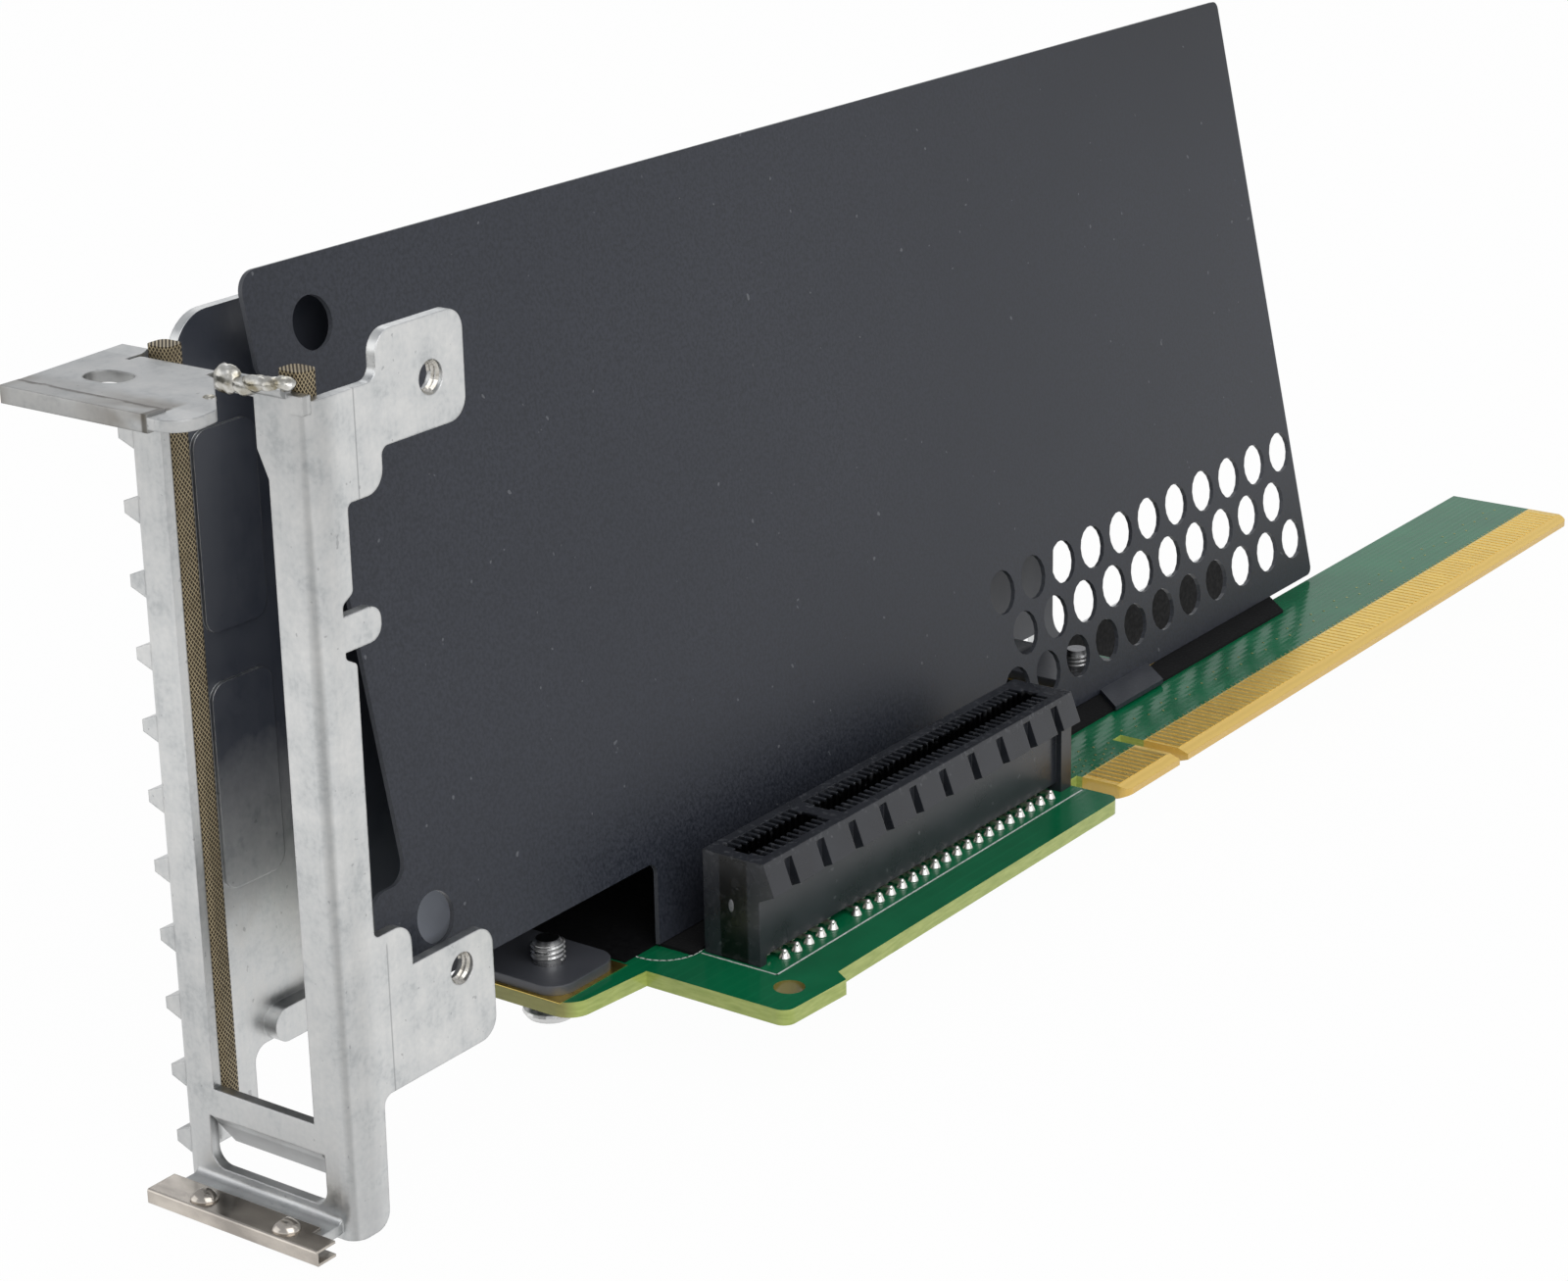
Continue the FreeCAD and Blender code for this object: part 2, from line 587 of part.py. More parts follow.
def make_contacts(row, side):
    """A row of stamped contacts: sprung blade in its cavity and a tail through the board."""
    label = f"contacts_{row}_{'left' if side else 'right'}"
    body = new_body(label)
    tip = "slot_height - contact_top"
    spine = "cavity_reach - contact_stock"
    tail = f"tail_{row}"
    level = "-board_thickness - tail_length"
    under, over = ("0.4", "0.75") if row == "outer" else ("0.75", "0.4")
    corners = [
        ("contact_bow + 0.45", tip),
        ("contact_bow", tip + " - 1.9"),
        (spine, "slot_height * 0.45"),
        (spine, under),
        (tail + " - contact_width / 2", under),
        (tail + " - contact_width / 2", level),
        (tail + " + contact_width / 2", level),
        (tail + " + contact_width / 2", over),
        ("cavity_reach", over),
        ("cavity_reach", "slot_height * 0.45"),
        ("contact_bow + contact_stock", tip + " - 1.9"),
        ("contact_bow + 0.45 + contact_stock", tip),
    ]
    for group, (start, count) in tail_rows(row).items():
        name = f"{label}_{group}"
        profile = new_sketch(body, name + "_profile", "XZ", f"-({start}) - contact_width / 2")
        draw_outline(profile, [(f"{side}({across})", up) for across, up in corners])
        first = pad(body, name + "_blade", profile, "contact_width")
        pattern = row_of(body, name, first, profile, "N_Axis", count, tail_span(count))
        pattern.Reversed = True
    return body


def make_film():
    """Leaning film: stepped outline, fixing holes, staggered vents, two feet on the board."""
    plate = rounded_pad("film_plate", "YZ", [
        ("-film_front", "film_step", "film_corner"),
        ("-film_step_end", "film_step", "film_corner / 2"),
        ("-film_step_end - film_step_slant", "film_lift * 1.4"),
        ("film_rear_low", "film_lift * 1.4", "film_corner / 2"),
        ("film_rear_high", "film_rear_height", "film_corner / 2"),
        ("-film_front", "film_front_height", "film_corner"),
        ("-film_front", "film_recess_high", "film_corner"),
        ("-film_front + film_recess", "film_recess_high", "film_corner"),
        ("-film_front + film_recess", "film_recess_low", "film_corner"),
        ("-film_front", "film_recess_low", "film_corner"),
    ], "-film_thickness", "film_thickness")
    fixing = new_sketch(plate, "film_fixings", "YZ")
    for height in ("film_hole_low", "film_hole_high"):
        draw_circle(fixing, "-film_front + film_hole_setback", height, "film_hole")
    plate.Tip = pocket(plate, "film_fixing_holes", fixing)
    rise = "vent_pitch * sqrt(3) / 2"
    vent_sides = int(value("vent_sides"))
    for level, (start, count) in enumerate((
        ("vent_start", "vent_columns"),
        ("vent_start + vent_pitch / 2", "vent_columns - 1"),
        ("vent_start", "vent_columns"),
    )):
        ring = new_sketch(plate, f"vent_circle_{level}", "YZ")
        draw_ring(ring, start, f"vent_low + {level} * {rise}", "vent_diameter", vent_sides)
        first = pocket(plate, f"vent_{level}", ring)
        span = f"({count} - 1) * vent_pitch"
        row_of(plate, f"vent_row_{level}", first, ring, "H_Axis", count, span)
    plate.Placement = FreeCAD.Placement(Vector(), FreeCAD.Rotation(Vector(0, -1, 0), 1))
    bind(plate, x="-film_foot_x")
    plate.setExpression(".Placement.Rotation.Angle", linked("film_angle"))
    flap = new_body("film_flap")
    fold = "-film_foot_x - film_thickness"
    sketch = new_sketch(flap, "flap_outline", "XY", "film_lift")
    draw_outline(sketch, [
        (fold, "flap_start"),
        ("-flap_edge", "flap_start - flap_slant"),
        ("-flap_edge", "flap_start + flap_length - flap_slant"),
        (fold, "flap_start + flap_length"),
    ])
    flap.Tip = pad(flap, "flap_pad", sketch, "film_thickness")
    return fuse("insulator_film", [plate, flap])


def make_tape():
    """Black foam tape that the film's foot stands on."""
    body = new_body("foam_tape")
    sketch = new_sketch(body, "tape_outline", "XY")
    inner = "-film_foot_x - film_thickness - 0.1"
    draw_outline(sketch, [
        (inner, "-tape_start"),
        ("-tape_edge", "-tape_start"),
        ("-tape_edge", "tape_end - tape_slant"),
        (inner, "tape_end"),
    ])
    body.Tip = pad(body, "tape_pad", sketch, "film_lift")
    return body


def make_channel():
    """Folded shell of the cage: bracket face, long wall and flange cut to their outlines."""
    shell = rounded_pad("cage_channel", "XY", [
        (WALL, "rail_end + 1"),
        (WALL, FACE, "bend_radius"),
        (FLANGE, FACE, "bend_radius"),
        (FLANGE, FACE + " + ear_reach + 1"),
        (FLANGE_INSIDE, FACE + " + ear_reach + 1"),
        (FLANGE_INSIDE, FACE + " + sheet", "bend_radius - sheet"),
        (WALL_INSIDE, FACE + " + sheet", "bend_radius - sheet"),
        (WALL_INSIDE, "rail_end + 1"),
    ], "-flange_drop", "flange_drop + upper_ear_top")
    wall = rounded_pad("wall_blank", "YZ", [
        (FACE, "-leg_drop"),
        (FACE + " + leg_width", "-leg_drop", "bend_radius"),
        (FACE + " + leg_width", "pad_thickness", "bend_radius"),
        ("rail_start", "pad_thickness"),
        ("rail_start", "-rail_top - rail_height", "rail_corner"),
        ("rail_end", "-rail_top - rail_height", "rail_corner"),
        ("rail_end - 1.5", "-rail_top", "rail_corner"),
        ("wall_end", "-rail_top", "wall_corner"),
        ("wall_end", "wall_top", "wall_corner"),
        (FACE + " + wall_setback", "wall_top", "wall_corner"),
        (FACE + " + wall_setback", "wall_relief"),
        (FACE, "wall_relief"),
    ], "-wall_offset", "3 * sheet")
    root = FACE + " + ear_root"
    tip = FACE + " + ear_reach"
    stem = FACE + " + flange_depth"
    low = "lower_ear_top - lower_ear_height"
    upper = "upper_ear_top - upper_ear_height"
    tongue = "finger_tab_level + finger_tab_height"
    flange = rounded_pad("flange_blank", "YZ", [
        (FACE, "-flange_drop"),
        (stem + " - 0.2", "-flange_drop", "bend_radius"),
        (stem, low, "1"),
        (tip, low, "ear_corner"),
        (tip, "lower_ear_top", "ear_corner"),
        (root + " + 0.3", "lower_ear_top"),
        (root + " + 0.3", "lower_ear_top + lower_ear_gusset", "ear_corner"),
        (stem, "lower_ear_top + lower_ear_gusset", "0.6"),
        (stem, "finger_tab_level - 1.3", "0.6"),
        (stem + " - finger_tab_notch", "finger_tab_level - 0.6", "0.5"),
        (stem + " - finger_tab_notch", "finger_tab_level"),
        (FACE + " + finger_tab_reach", "finger_tab_level", "1.4"),
        (FACE + " + finger_tab_reach", tongue, "1.4"),
        (stem + " - finger_tab_notch", tongue),
        (stem + " - finger_tab_notch", tongue + " + 1", "0.5"),
        (stem, tongue + " + 1.8", "0.6"),
        (stem, upper + " - upper_ear_gusset", "0.6"),
        (root + " + 0.1", upper + " - upper_ear_gusset", "ear_corner"),
        (root + " + 0.1", upper, "0.8"),
        (tip, upper, "ear_corner"),
        (tip, "upper_ear_top", "ear_corner"),
        (root, "upper_ear_top", "ear_corner"),
        (root, "flange_top", "1.2"),
        (FACE, "flange_top"),
    ], FLANGE + " - 3 * sheet", "3 * sheet")
    face = rounded_pad("face_blank", "XZ", [
        (WALL, "-face_drop"),
        (FLANGE, "-face_drop"),
        (FLANGE, "flange_top"),
        (WALL, "flange_top"),
    ], "face_offset - sheet", "sheet")
    outline = fuse("cage_outlines", [wall, flange, face])
    folded = doc.addObject("Part::MultiCommon", "folded_shell")
    folded.Shapes = [shell, outline]
    return folded


def make_tab():
    """Top tab folded forward from the face, with its hem, hole and formed beads."""
    strip = rounded_pad("tab_strip", "YZ", [
        (FACE + " + sheet", "flange_top - 1"),
        (FACE + " + sheet", "face_top + sheet", "bend_radius"),
        (FACE + " - tab_reach - 1", "face_top + sheet"),
        (FACE + " - tab_reach - 1", "face_top"),
        (FACE, "face_top", "bend_radius - sheet"),
        (FACE, "flange_top - 1"),
    ], WALL, "wall_offset - flange_offset")
    ear = "-wall_offset + window_margin - 1.8"
    plan = rounded_pad("tab_plan", "XY", [
        (WALL + " - tab_ear", FACE + " + sheet + tab_ear * 0.6"),
        (WALL, FACE + " - tab_reach", "sheet"),
        (FLANGE, FACE + " - tab_reach", "tab_corner"),
        (FLANGE + " - 0.8", FACE + " - tab_reach * 0.65", "1.5"),
        (FLANGE + " - 7.6", FACE + " - tab_reach * 0.15", "1.5"),
        (FLANGE + " - tab_inner", FACE + " - bend_radius"),
        (ear, FACE + " - bend_radius"),
        (ear, FACE + " + 0.4"),
        (ear + " - 0.7", FACE + " + sheet + tab_ear * 0.6"),
    ], "face_top", "sheet")
    strip_cut = box("tab_fold", ear + " + 0.5", FACE + " - 2 * bend_radius", "flange_top - 1",
                    "wall_offset - flange_offset - tab_inner - window_margin + 1.3",
                    "3 * bend_radius", "3 * sheet")
    rim = box("tab_rim", WALL, FACE, "flange_top - 1",
              "wall_offset - flange_offset", "sheet", "face_top - flange_top + 1")
    folded = doc.addObject("Part::MultiCommon", "folded_tab")
    folded.Shapes = [strip, strip_cut]
    hem = box("tab_hem", WALL + " + 0.3", FACE + " - tab_reach",
              "face_top + sheet + hem_ridge - hem_height",
              "hem_length", "hem_width", "hem_height")
    middle = "-wall_offset + tab_hole_margin + tab_hole_width / 2"
    row = FACE + " - tab_hole_setback - tab_hole_width / 2"
    reach = "tab_hole_length - tab_hole_width"
    hole = [
        rod("tab_hole_left", middle, row, "face_top - 1", "tab_hole_width / 2", "3 * sheet"),
        rod("tab_hole_right", f"{middle} + {reach}", row, "face_top - 1", "tab_hole_width / 2",
            "3 * sheet"),
        box("tab_hole_middle", middle, row + " - tab_hole_width / 2", "face_top - 1",
            reach, "tab_hole_width", "3 * sheet"),
    ]
    return cut("tab_sheet", fuse("tab_and_hem", [plan, folded, rim, hem]), hole)


def make_lower_edge():
    """Guide lip over the bracket tongue's slot and the flange folded forward below it."""
    lip = rounded_pad("guide_lip", "YZ", [
        (FACE, SILL_FOOT + " + 0.4"),
        (FACE + " + sheet", SILL_FOOT + " + 0.4"),
        (FACE + " + sheet + guide_depth", SILL_FOOT + " - guide_drop + sheet / 2"),
        (FACE + " + guide_depth + 0.4", SILL_FOOT + " - guide_drop"),
        (FACE, SILL_FOOT),
    ], WINDOW_LEFT + " - 0.4", "tongue_slot_width - 0.8")
    flange = rounded_pad("bottom_flange", "YZ", [
        (FACE + " + sheet", "-face_drop + 3 * sheet"),
        (FACE + " + sheet", "-face_drop", "bend_radius"),
        (FACE + " - lip_reach", "-face_drop"),
        (FACE + " - lip_reach", "-face_drop + sheet"),
        (FACE, "-face_drop + sheet", "bend_radius - sheet"),
        (FACE, "-face_drop + 3 * sheet"),
    ], WALL + " + bend_radius", "wall_offset - flange_offset - 2 * bend_radius")
    flange_cut = cut("bottom_flange_relieved", flange, [tongue_slot("lower")])
    return [lip, flange_cut]


def tongue_slot(name):
    """Slot under the bar for the card bracket's tongue."""
    left = WINDOW_LEFT + " - 0.8"
    foot = SILL_FOOT + " - tongue_slot_height"
    return rounded_pad("tongue_slot_" + name, "XZ", [
        (left, foot, "bend_radius"),
        (left + " + tongue_slot_width", foot, "bend_radius"),
        (left + " + tongue_slot_width", SILL_FOOT),
        (left, SILL_FOOT),
    ], "face_offset - 2 * sheet", "4 * sheet")


def make_wall_features():
    """Pressed panels, bead and contact bumps of the cage; returns what is added and removed."""
    added = []
    removed = []
    lower_top = "panel_sill + panel_height"
    for name, sill, top in (
        ("lower", "panel_sill", lower_top),
        ("upper", lower_top + " + panel_gap", lower_top + " + panel_gap + panel_upper_height"),
    ):
        for face, inset, store in (
            (WALL_INSIDE, "0", added),
            (WALL, "0.5", removed),
        ):
            kind = "press" if store is added else "recess"
            near = f"{FACE} + panel_start + {inset}"
            far = f"{FACE} + panel_start + panel_length - {inset}"
            depth = "panel_depth"
            store.append(rounded_pad(f"{name}_panel_{kind}", "YZ", [
                (near, f"{sill} + {inset}", "bend_radius"),
                (far, f"{sill} + {inset}", "bend_radius"),
                (far, f"{top} - {inset}", "bend_radius"),
                (near, f"{top} - {inset}", "bend_radius"),
            ], face, depth))
    added.append(rounded_pad("wall_bead", "YZ", [
        (FACE + " + leg_width + 1.4", "pad_thickness", "bead_height / 2 - 0.05"),
        (FACE + " + leg_width + 1.4 + bead_length", "pad_thickness", "bead_height / 2 - 0.05"),
        (FACE + " + leg_width + 1.4 + bead_length", "bead_height", "bead_height / 2 - 0.05"),
        (FACE + " + leg_width + 1.4", "bead_height", "bead_height / 2 - 0.05"),
    ], WALL_INSIDE, "bead_reach"))
    bumps = new_body("contact_bumps")
    section = new_sketch(bumps, "bump_section", "XZ", "face_offset - 0.4")
    foot = "-bump_first"
    draw_outline(section, [
        (WALL + " + 0.6", foot),
        (WALL + " - bump_reach", foot + " + 0.7"),
        (WALL + " - bump_reach", foot + " + bump_height - 0.7"),
        (WALL + " + 0.6", foot + " + bump_height"),
    ])
    first = pad(bumps, "bump", section, "bump_length")
    first.Reversed = True
    span = "(bump_count - 1) * bump_pitch"
    row_of(bumps, "bump_row", first, section, "V_Axis", "bump_count", span)
    added.append(bumps)
    return added, removed


def make_cage():
    """The cage: one sheet folded into face, wall, flange, tabs and lower edge."""
    added, removed = make_wall_features()
    pieces = [make_channel(), make_tab()] + make_lower_edge() + added
    for name, start, end in (
        ("front", "-front_tab_start", "-front_tab_edge"),
        ("rear", "rear_tab_start", "-rear_tab_edge"),
    ):
        pieces.append(rounded_pad(f"{name}_foot_tab", "XY", [
            (WALL + " + sheet / 2", start),
            (end, start, "board_round"),
            (end, start + " + foot_tab_width", "board_round"),
            (WALL + " + sheet / 2", start + " + foot_tab_width"),
        ], "pad_thickness", "sheet"))
    for name, height in (("lower", "lower_hole_height"), ("upper", "upper_hole_height")):
        pieces.append(rod(f"{name}_collar", FLANGE_INSIDE + " - collar_height",
                          FACE + " + ear_hole_setback", height,
                          "ear_hole / 2 + collar_wall", "collar_height + sheet / 2", "x"))
        removed.append(rod(f"{name}_thread", FLANGE_INSIDE + " - collar_height - 1",
                           FACE + " + ear_hole_setback", height,
                           "ear_hole / 2", "collar_height + sheet + 2", "x"))
    for name, start, length in (("short", "-13.8", "2.6"), ("long", "-10.8", "3.6")):
        pieces.append(rod(f"{name}_top_bead", start, FACE,
                          "face_top + top_bead / 2", "top_bead", length, "x"))
    window = rounded_pad("bracket_window", "XZ", [
        (WINDOW_LEFT, "window_sill"),
        (WINDOW_RIGHT, "window_sill"),
        (WINDOW_RIGHT, "face_top - window_neck_height - 2.5"),
        (WINDOW_RIGHT + " - window_neck", "face_top - window_neck_height"),
        (WINDOW_RIGHT + " - window_neck", "face_top - 0.7"),
        (WINDOW_LEFT, "face_top - 0.7"),
    ], "face_offset - 2 * sheet", "4 * sheet")
    removed.append(window)
    for place, name in ((FRONT_SCREW, "front"), (REAR_SCREW, "rear")):
        removed.append(rod(f"{name}_tab_hole", "-screw_offset", place, "-1",
                           "(screw_diameter + screw_fit) / 2", "3 * sheet"))
    face_slot = cut("channel_with_slot", pieces[0], [tongue_slot("upper")])
    return cut("riser_cage", fuse("cage_parts", [face_slot] + pieces[1:]), removed)


def make_gasket(name, left, width):
    """Conductive foam gasket standing behind the bracket face."""
    near = FACE + " + sheet"
    far = near + " + gasket_depth"
    right = f"{left} + {width}"
    return rounded_pad(name, "XY", [
        (left, near, "gasket_corner"),
        (right, near, "gasket_corner"),
        (right, far, "gasket_corner"),
        (left, far, "gasket_corner"),
    ], "-1", "gasket_top + 1")


def make_clip():
    """Spring clip over the bottom flange, with two raised contacts."""
    middle = "-(wall_offset + flange_offset) / 2 + 0.4"
    left = middle + " - clip_length / 2"
    strips = []
    for name, start, length, depth in (
        ("clip_strip", left, "clip_length - clip_sleeve", "clip_depth"),
        ("clip_sleeve", left + " + clip_length - clip_sleeve - 0.1", "clip_sleeve + 0.1",
         "clip_depth - 1"),
    ):
        front = FACE + " - lip_reach - clip_gap - clip_stock"
        strips.append(rounded_pad(name, "YZ", [
            (front, "-face_drop - clip_stock", "clip_stock"),
            (front + f" + {depth}", "-face_drop - clip_stock"),
            (front + f" + {depth}", "-face_drop"),
            (front + " + clip_stock", "-face_drop"),
            (front + " + clip_stock", "-face_drop + sheet"),
            (front + f" + {depth}", "-face_drop + sheet"),
            (front + f" + {depth}", "-face_drop + sheet + clip_stock"),
            (front, "-face_drop + sheet + clip_stock", "clip_stock"),
        ], start, length))
    domes = []
    for name, step in (("left", "-"), ("right", "+")):
        dome = doc.addObject("Part::Cone", name + "_clip_contact")
        bind(dome, x=f"{middle} {step} clip_bump_step / 2", y=front + " + clip_depth / 2",
             z="-face_drop + sheet + clip_stock / 2", Radius1="clip_bump", Radius2="clip_bump / 2",
             Height="clip_bump / 2")
        domes.append(dome)
    return fuse("grounding_clip", strips + domes)


def make_screws():
    """Two pan head screws from below the board, tapped into the cage's board tabs."""
    screws = []
    for name, place in (("front", FRONT_SCREW), ("rear", REAR_SCREW)):
        body = new_body(name + "_screw")
        section = new_sketch(body, name + "_screw_section", "XZ")
        top = TAB_TOP + " + screw_stub"
        seat = "-board_thickness"
        draw_outline(section, [
            ("0", seat + " - head_height"),
            ("head_diameter * 0.33", seat + " - head_height"),
            ("head_diameter / 2", seat + " - head_height * 0.6"),
            ("head_diameter / 2", seat),
            ("screw_diameter / 2", seat),
            ("screw_diameter / 2", top + " - 0.4"),
            ("screw_diameter / 2 - 0.4", top),
            ("0", top),
        ])
        turned = body.newObject("PartDesign::Revolution", name + "_turned")
        turned.Profile = section
        turned.ReferenceAxis = (section, ["V_Axis"])
        turned.Angle = 360
        body.Tip = turned
        bind(body, x="-screw_offset", y=place)
        arms = []
        for arm, across, along in (
            ("long", "recess_width", "head_diameter * 0.55"),
            ("cross", "head_diameter * 0.55", "recess_width"),
        ):
            arms.append(box(f"{name}_{arm}_recess", f"-screw_offset - ({across}) / 2",
                            f"{place} - ({along}) / 2", seat + " - head_height - 1",
                            across, along, "recess_depth + 1"))
        screws.append(cut(name + "_screw_cut", body, arms))
    return group("mounting_screws", screws)


def make_pads():
    """Bare plated pads on the board under the cage's tabs."""
    pads = []
    for name, start, edge in (
        ("front", "-front_tab_start", "front_tab_edge"),
        ("rear", "rear_tab_start", "rear_tab_edge"),
    ):
        left = "-board_left + pad_margin"
        width = f"board_left - pad_margin - ({edge}) + pad_margin"
        plate = box(f"{name}_pad", left, f"{start} - pad_margin * 0.9", "0",
                    width, "foot_tab_width + pad_margin * 1.6", "pad_thickness")
        place = FRONT_SCREW if name == "front" else REAR_SCREW
        hole = rod(f"{name}_pad_hole", "-screw_offset", place, "-1",
                   "(screw_diameter + screw_play) / 2", "2")
        pads.append(cut(f"{name}_pad_cut", plate, [hole]))
    return group("ground_pads", pads)


def group(name, items):
    """Several loose pieces of one kind as one node."""
    item = doc.addObject("Part::Compound", name)
    item.Links = items
    return item


board = make_board()
fingers = [
    make_fingers("edge_fingers_top", "0"),
    make_fingers("edge_fingers_bottom", "-board_thickness - finger_thickness"),
]
housing = make_housing()
contacts = [make_contacts(row, side) for row in ("outer", "inner") for side in ("", "-")]
cage = make_cage()
film = make_film()
tape = make_tape()
gaskets = [
    make_gasket("gasket_left", WALL_INSIDE + " + gasket_inset", "left_gasket_width"),
    make_gasket("gasket_right", FLANGE_INSIDE + " - right_gasket_width", "right_gasket_width"),
]
clip = make_clip()
screws = make_screws()
pads = make_pads()
doc.recompute()

for item in doc.Objects:
    if {"Invalid", "Error"} & set(item.State):
        raise RuntimeError(f"{item.Name} did not recompute: {item.State}")

os.makedirs("parts", exist_ok=True)
for piece in [board, housing, cage, film, tape, clip, screws, pads] + fingers + contacts + gaskets:
    shape = piece.Shape
    if shape.isNull() or not shape.isValid():
        raise RuntimeError(f"{piece.Label} has no valid shape")
    shape.exportStep(f"parts/{piece.Label}.step")
    print(piece.Label, len(shape.Solids), round(shape.Volume, 2), shape.BoundBox)
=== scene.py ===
from math import cos, pi, radians, sin

import bmesh
import bpy
from mathutils import Matrix, Vector


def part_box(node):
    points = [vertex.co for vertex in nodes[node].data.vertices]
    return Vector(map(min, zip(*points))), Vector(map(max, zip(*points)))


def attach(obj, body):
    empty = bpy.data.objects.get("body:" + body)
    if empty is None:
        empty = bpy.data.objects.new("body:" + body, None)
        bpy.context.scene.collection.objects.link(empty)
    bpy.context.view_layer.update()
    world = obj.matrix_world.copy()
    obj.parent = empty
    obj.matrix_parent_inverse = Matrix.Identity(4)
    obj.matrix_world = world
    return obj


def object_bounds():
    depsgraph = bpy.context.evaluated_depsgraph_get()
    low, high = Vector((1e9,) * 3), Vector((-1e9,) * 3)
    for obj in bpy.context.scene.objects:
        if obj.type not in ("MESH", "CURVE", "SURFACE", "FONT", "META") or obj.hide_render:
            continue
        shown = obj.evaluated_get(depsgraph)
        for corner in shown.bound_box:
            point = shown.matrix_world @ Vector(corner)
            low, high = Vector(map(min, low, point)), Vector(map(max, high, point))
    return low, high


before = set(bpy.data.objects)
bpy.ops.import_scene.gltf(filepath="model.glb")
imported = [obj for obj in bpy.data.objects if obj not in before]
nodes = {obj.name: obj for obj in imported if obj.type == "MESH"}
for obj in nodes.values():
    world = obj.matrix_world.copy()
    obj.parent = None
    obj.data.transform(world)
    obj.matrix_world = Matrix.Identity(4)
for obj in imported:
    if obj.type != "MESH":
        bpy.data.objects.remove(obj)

cad_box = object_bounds()
scene = bpy.context.scene

# ---- Camera -------------------------------------------------------------------------------
# A long lens from in front of the bracket, about 36 degrees round from the slot's line and
# 20 degrees up, with its horizon rolled by about one degree.
camera_data = bpy.data.cameras.new("camera")
camera_data.lens = 81.1
camera_data.sensor_width = 36
camera_data.clip_start = 0.01
camera_data.clip_end = 20
camera = bpy.data.objects.new("camera", camera_data)
scene.collection.objects.link(camera)
camera_axes = Matrix((
    (0.81219, -0.18168, 0.55438),
    (0.58311, 0.28227, -0.76178),
    (-0.01809, 0.94197, 0.33520),
))
camera.matrix_world = Matrix.Translation((0.18429, -0.24643, 0.14104)) @ camera_axes.to_4x4()
scene.camera = camera
scene.view_settings.view_transform = "Standard"

# ---- Studio: world and lamps --------------------------------------------------------------
# A plain studio with a white horizon and a greyer ceiling. The camera and the reflections
# see it at full strength, and the object is lit at a plainer level by it and three lamps.
world = bpy.data.worlds.new("studio")
scene.world = world
world.use_nodes = True
sky = world.node_tree
background = sky.nodes["Background"]
direction = sky.nodes.new("ShaderNodeSeparateXYZ")
sky.links.new(sky.nodes.new("ShaderNodeTexCoord").outputs["Generated"], direction.inputs[0])
ceiling = sky.nodes.new("ShaderNodeValToRGB")
ceiling.color_ramp.elements[0].position = 0.02
ceiling.color_ramp.elements[0].color = (1.0, 1.0, 1.0, 1.0)
ceiling.color_ramp.elements[1].position = 0.9
ceiling.color_ramp.elements[1].color = (0.52, 0.53, 0.55, 1.0)
knee = ceiling.color_ramp.elements.new(0.32)
knee.color = (0.60, 0.61, 0.63, 1.0)
sky.links.new(direction.outputs["Z"], ceiling.inputs["Fac"])
sky.links.new(ceiling.outputs["Color"], background.inputs["Color"])
ray = sky.nodes.new("ShaderNodeLightPath")
seen = None
for name in ("Is Camera Ray", "Is Glossy Ray", "Is Transmission Ray"):
    if seen is None:
        seen = ray.outputs[name]
        continue
    either = sky.nodes.new("ShaderNodeMath")
    either.operation = "MAXIMUM"
    sky.links.new(seen, either.inputs[0])
    sky.links.new(ray.outputs[name], either.inputs[1])
    seen = either.outputs[0]
level = sky.nodes.new("ShaderNodeMapRange")
level.inputs["To Min"].default_value = 0.70
level.inputs["To Max"].default_value = 1.0
sky.links.new(seen, level.inputs["Value"])
sky.links.new(level.outputs[0], background.inputs["Strength"])

for name, energy, size, place, aim in (
    ("key_lamp", 4.2, 0.8, (0.62, -0.30, 0.60), (0.0, 0.05, 0.02)),
    ("fill_lamp", 1.3, 0.7, (-0.60, -0.65, 0.30), (-0.02, 0.0, 0.03)),
    ("rim_lamp", 1.2, 0.5, (-0.45, 0.60, 0.75), (0.0, 0.08, 0.0)),
):
    lamp_data = bpy.data.lights.new(name, "AREA")
    lamp_data.energy = energy
    lamp_data.size = size
    lamp = bpy.data.objects.new(name, lamp_data)
    lamp.location = place
    lamp.rotation_euler = (Vector(aim) - Vector(place)).to_track_quat("-Z", "Y").to_euler()
    scene.collection.objects.link(lamp)


# ---- Floor --------------------------------------------------------------------------------
# A sheet of white paper under the card. It looks white to the camera and in reflections, and
# keeps a faint shadow of the card.
def shader(name, roughness, metallic=0.0, **sockets):
    """A new node material with its Principled shader's plain sockets set."""
    made = bpy.data.materials.new(name)
    made.use_nodes = True
    bsdf = made.node_tree.nodes["Principled BSDF"]
    bsdf.inputs["Roughness"].default_value = roughness
    bsdf.inputs["Metallic"].default_value = metallic
    for socket, number in sockets.items():
        bsdf.inputs[socket.replace("_", " ")].default_value = number
    return made


floor_level = cad_box[0][2] - 0.0004
floor_mesh = bpy.data.meshes.new("floor")
floor_mesh.from_pydata([(-3, -3, floor_level), (3, -3, floor_level), (3, 3, floor_level),
                        (-3, 3, floor_level)], [], [(0, 1, 2, 3)])
floor = bpy.data.objects.new("floor", floor_mesh)
scene.collection.objects.link(floor)
paper = shader("floor_paper", 0.9, Specular_IOR_Level=0.1, Base_Color=(0.84, 0.84, 0.84, 1))
tree = paper.node_tree
white = tree.nodes.new("ShaderNodeEmission")
floor_ray = tree.nodes.new("ShaderNodeLightPath")
mirrored = tree.nodes.new("ShaderNodeMath")
mirrored.operation = "MAXIMUM"
whiteness = tree.nodes.new("ShaderNodeMath")
whiteness.operation = "MULTIPLY"
whiteness.inputs[1].default_value = 0.975
floor_mix = tree.nodes.new("ShaderNodeMixShader")
tree.links.new(floor_ray.outputs["Is Camera Ray"], mirrored.inputs[0])
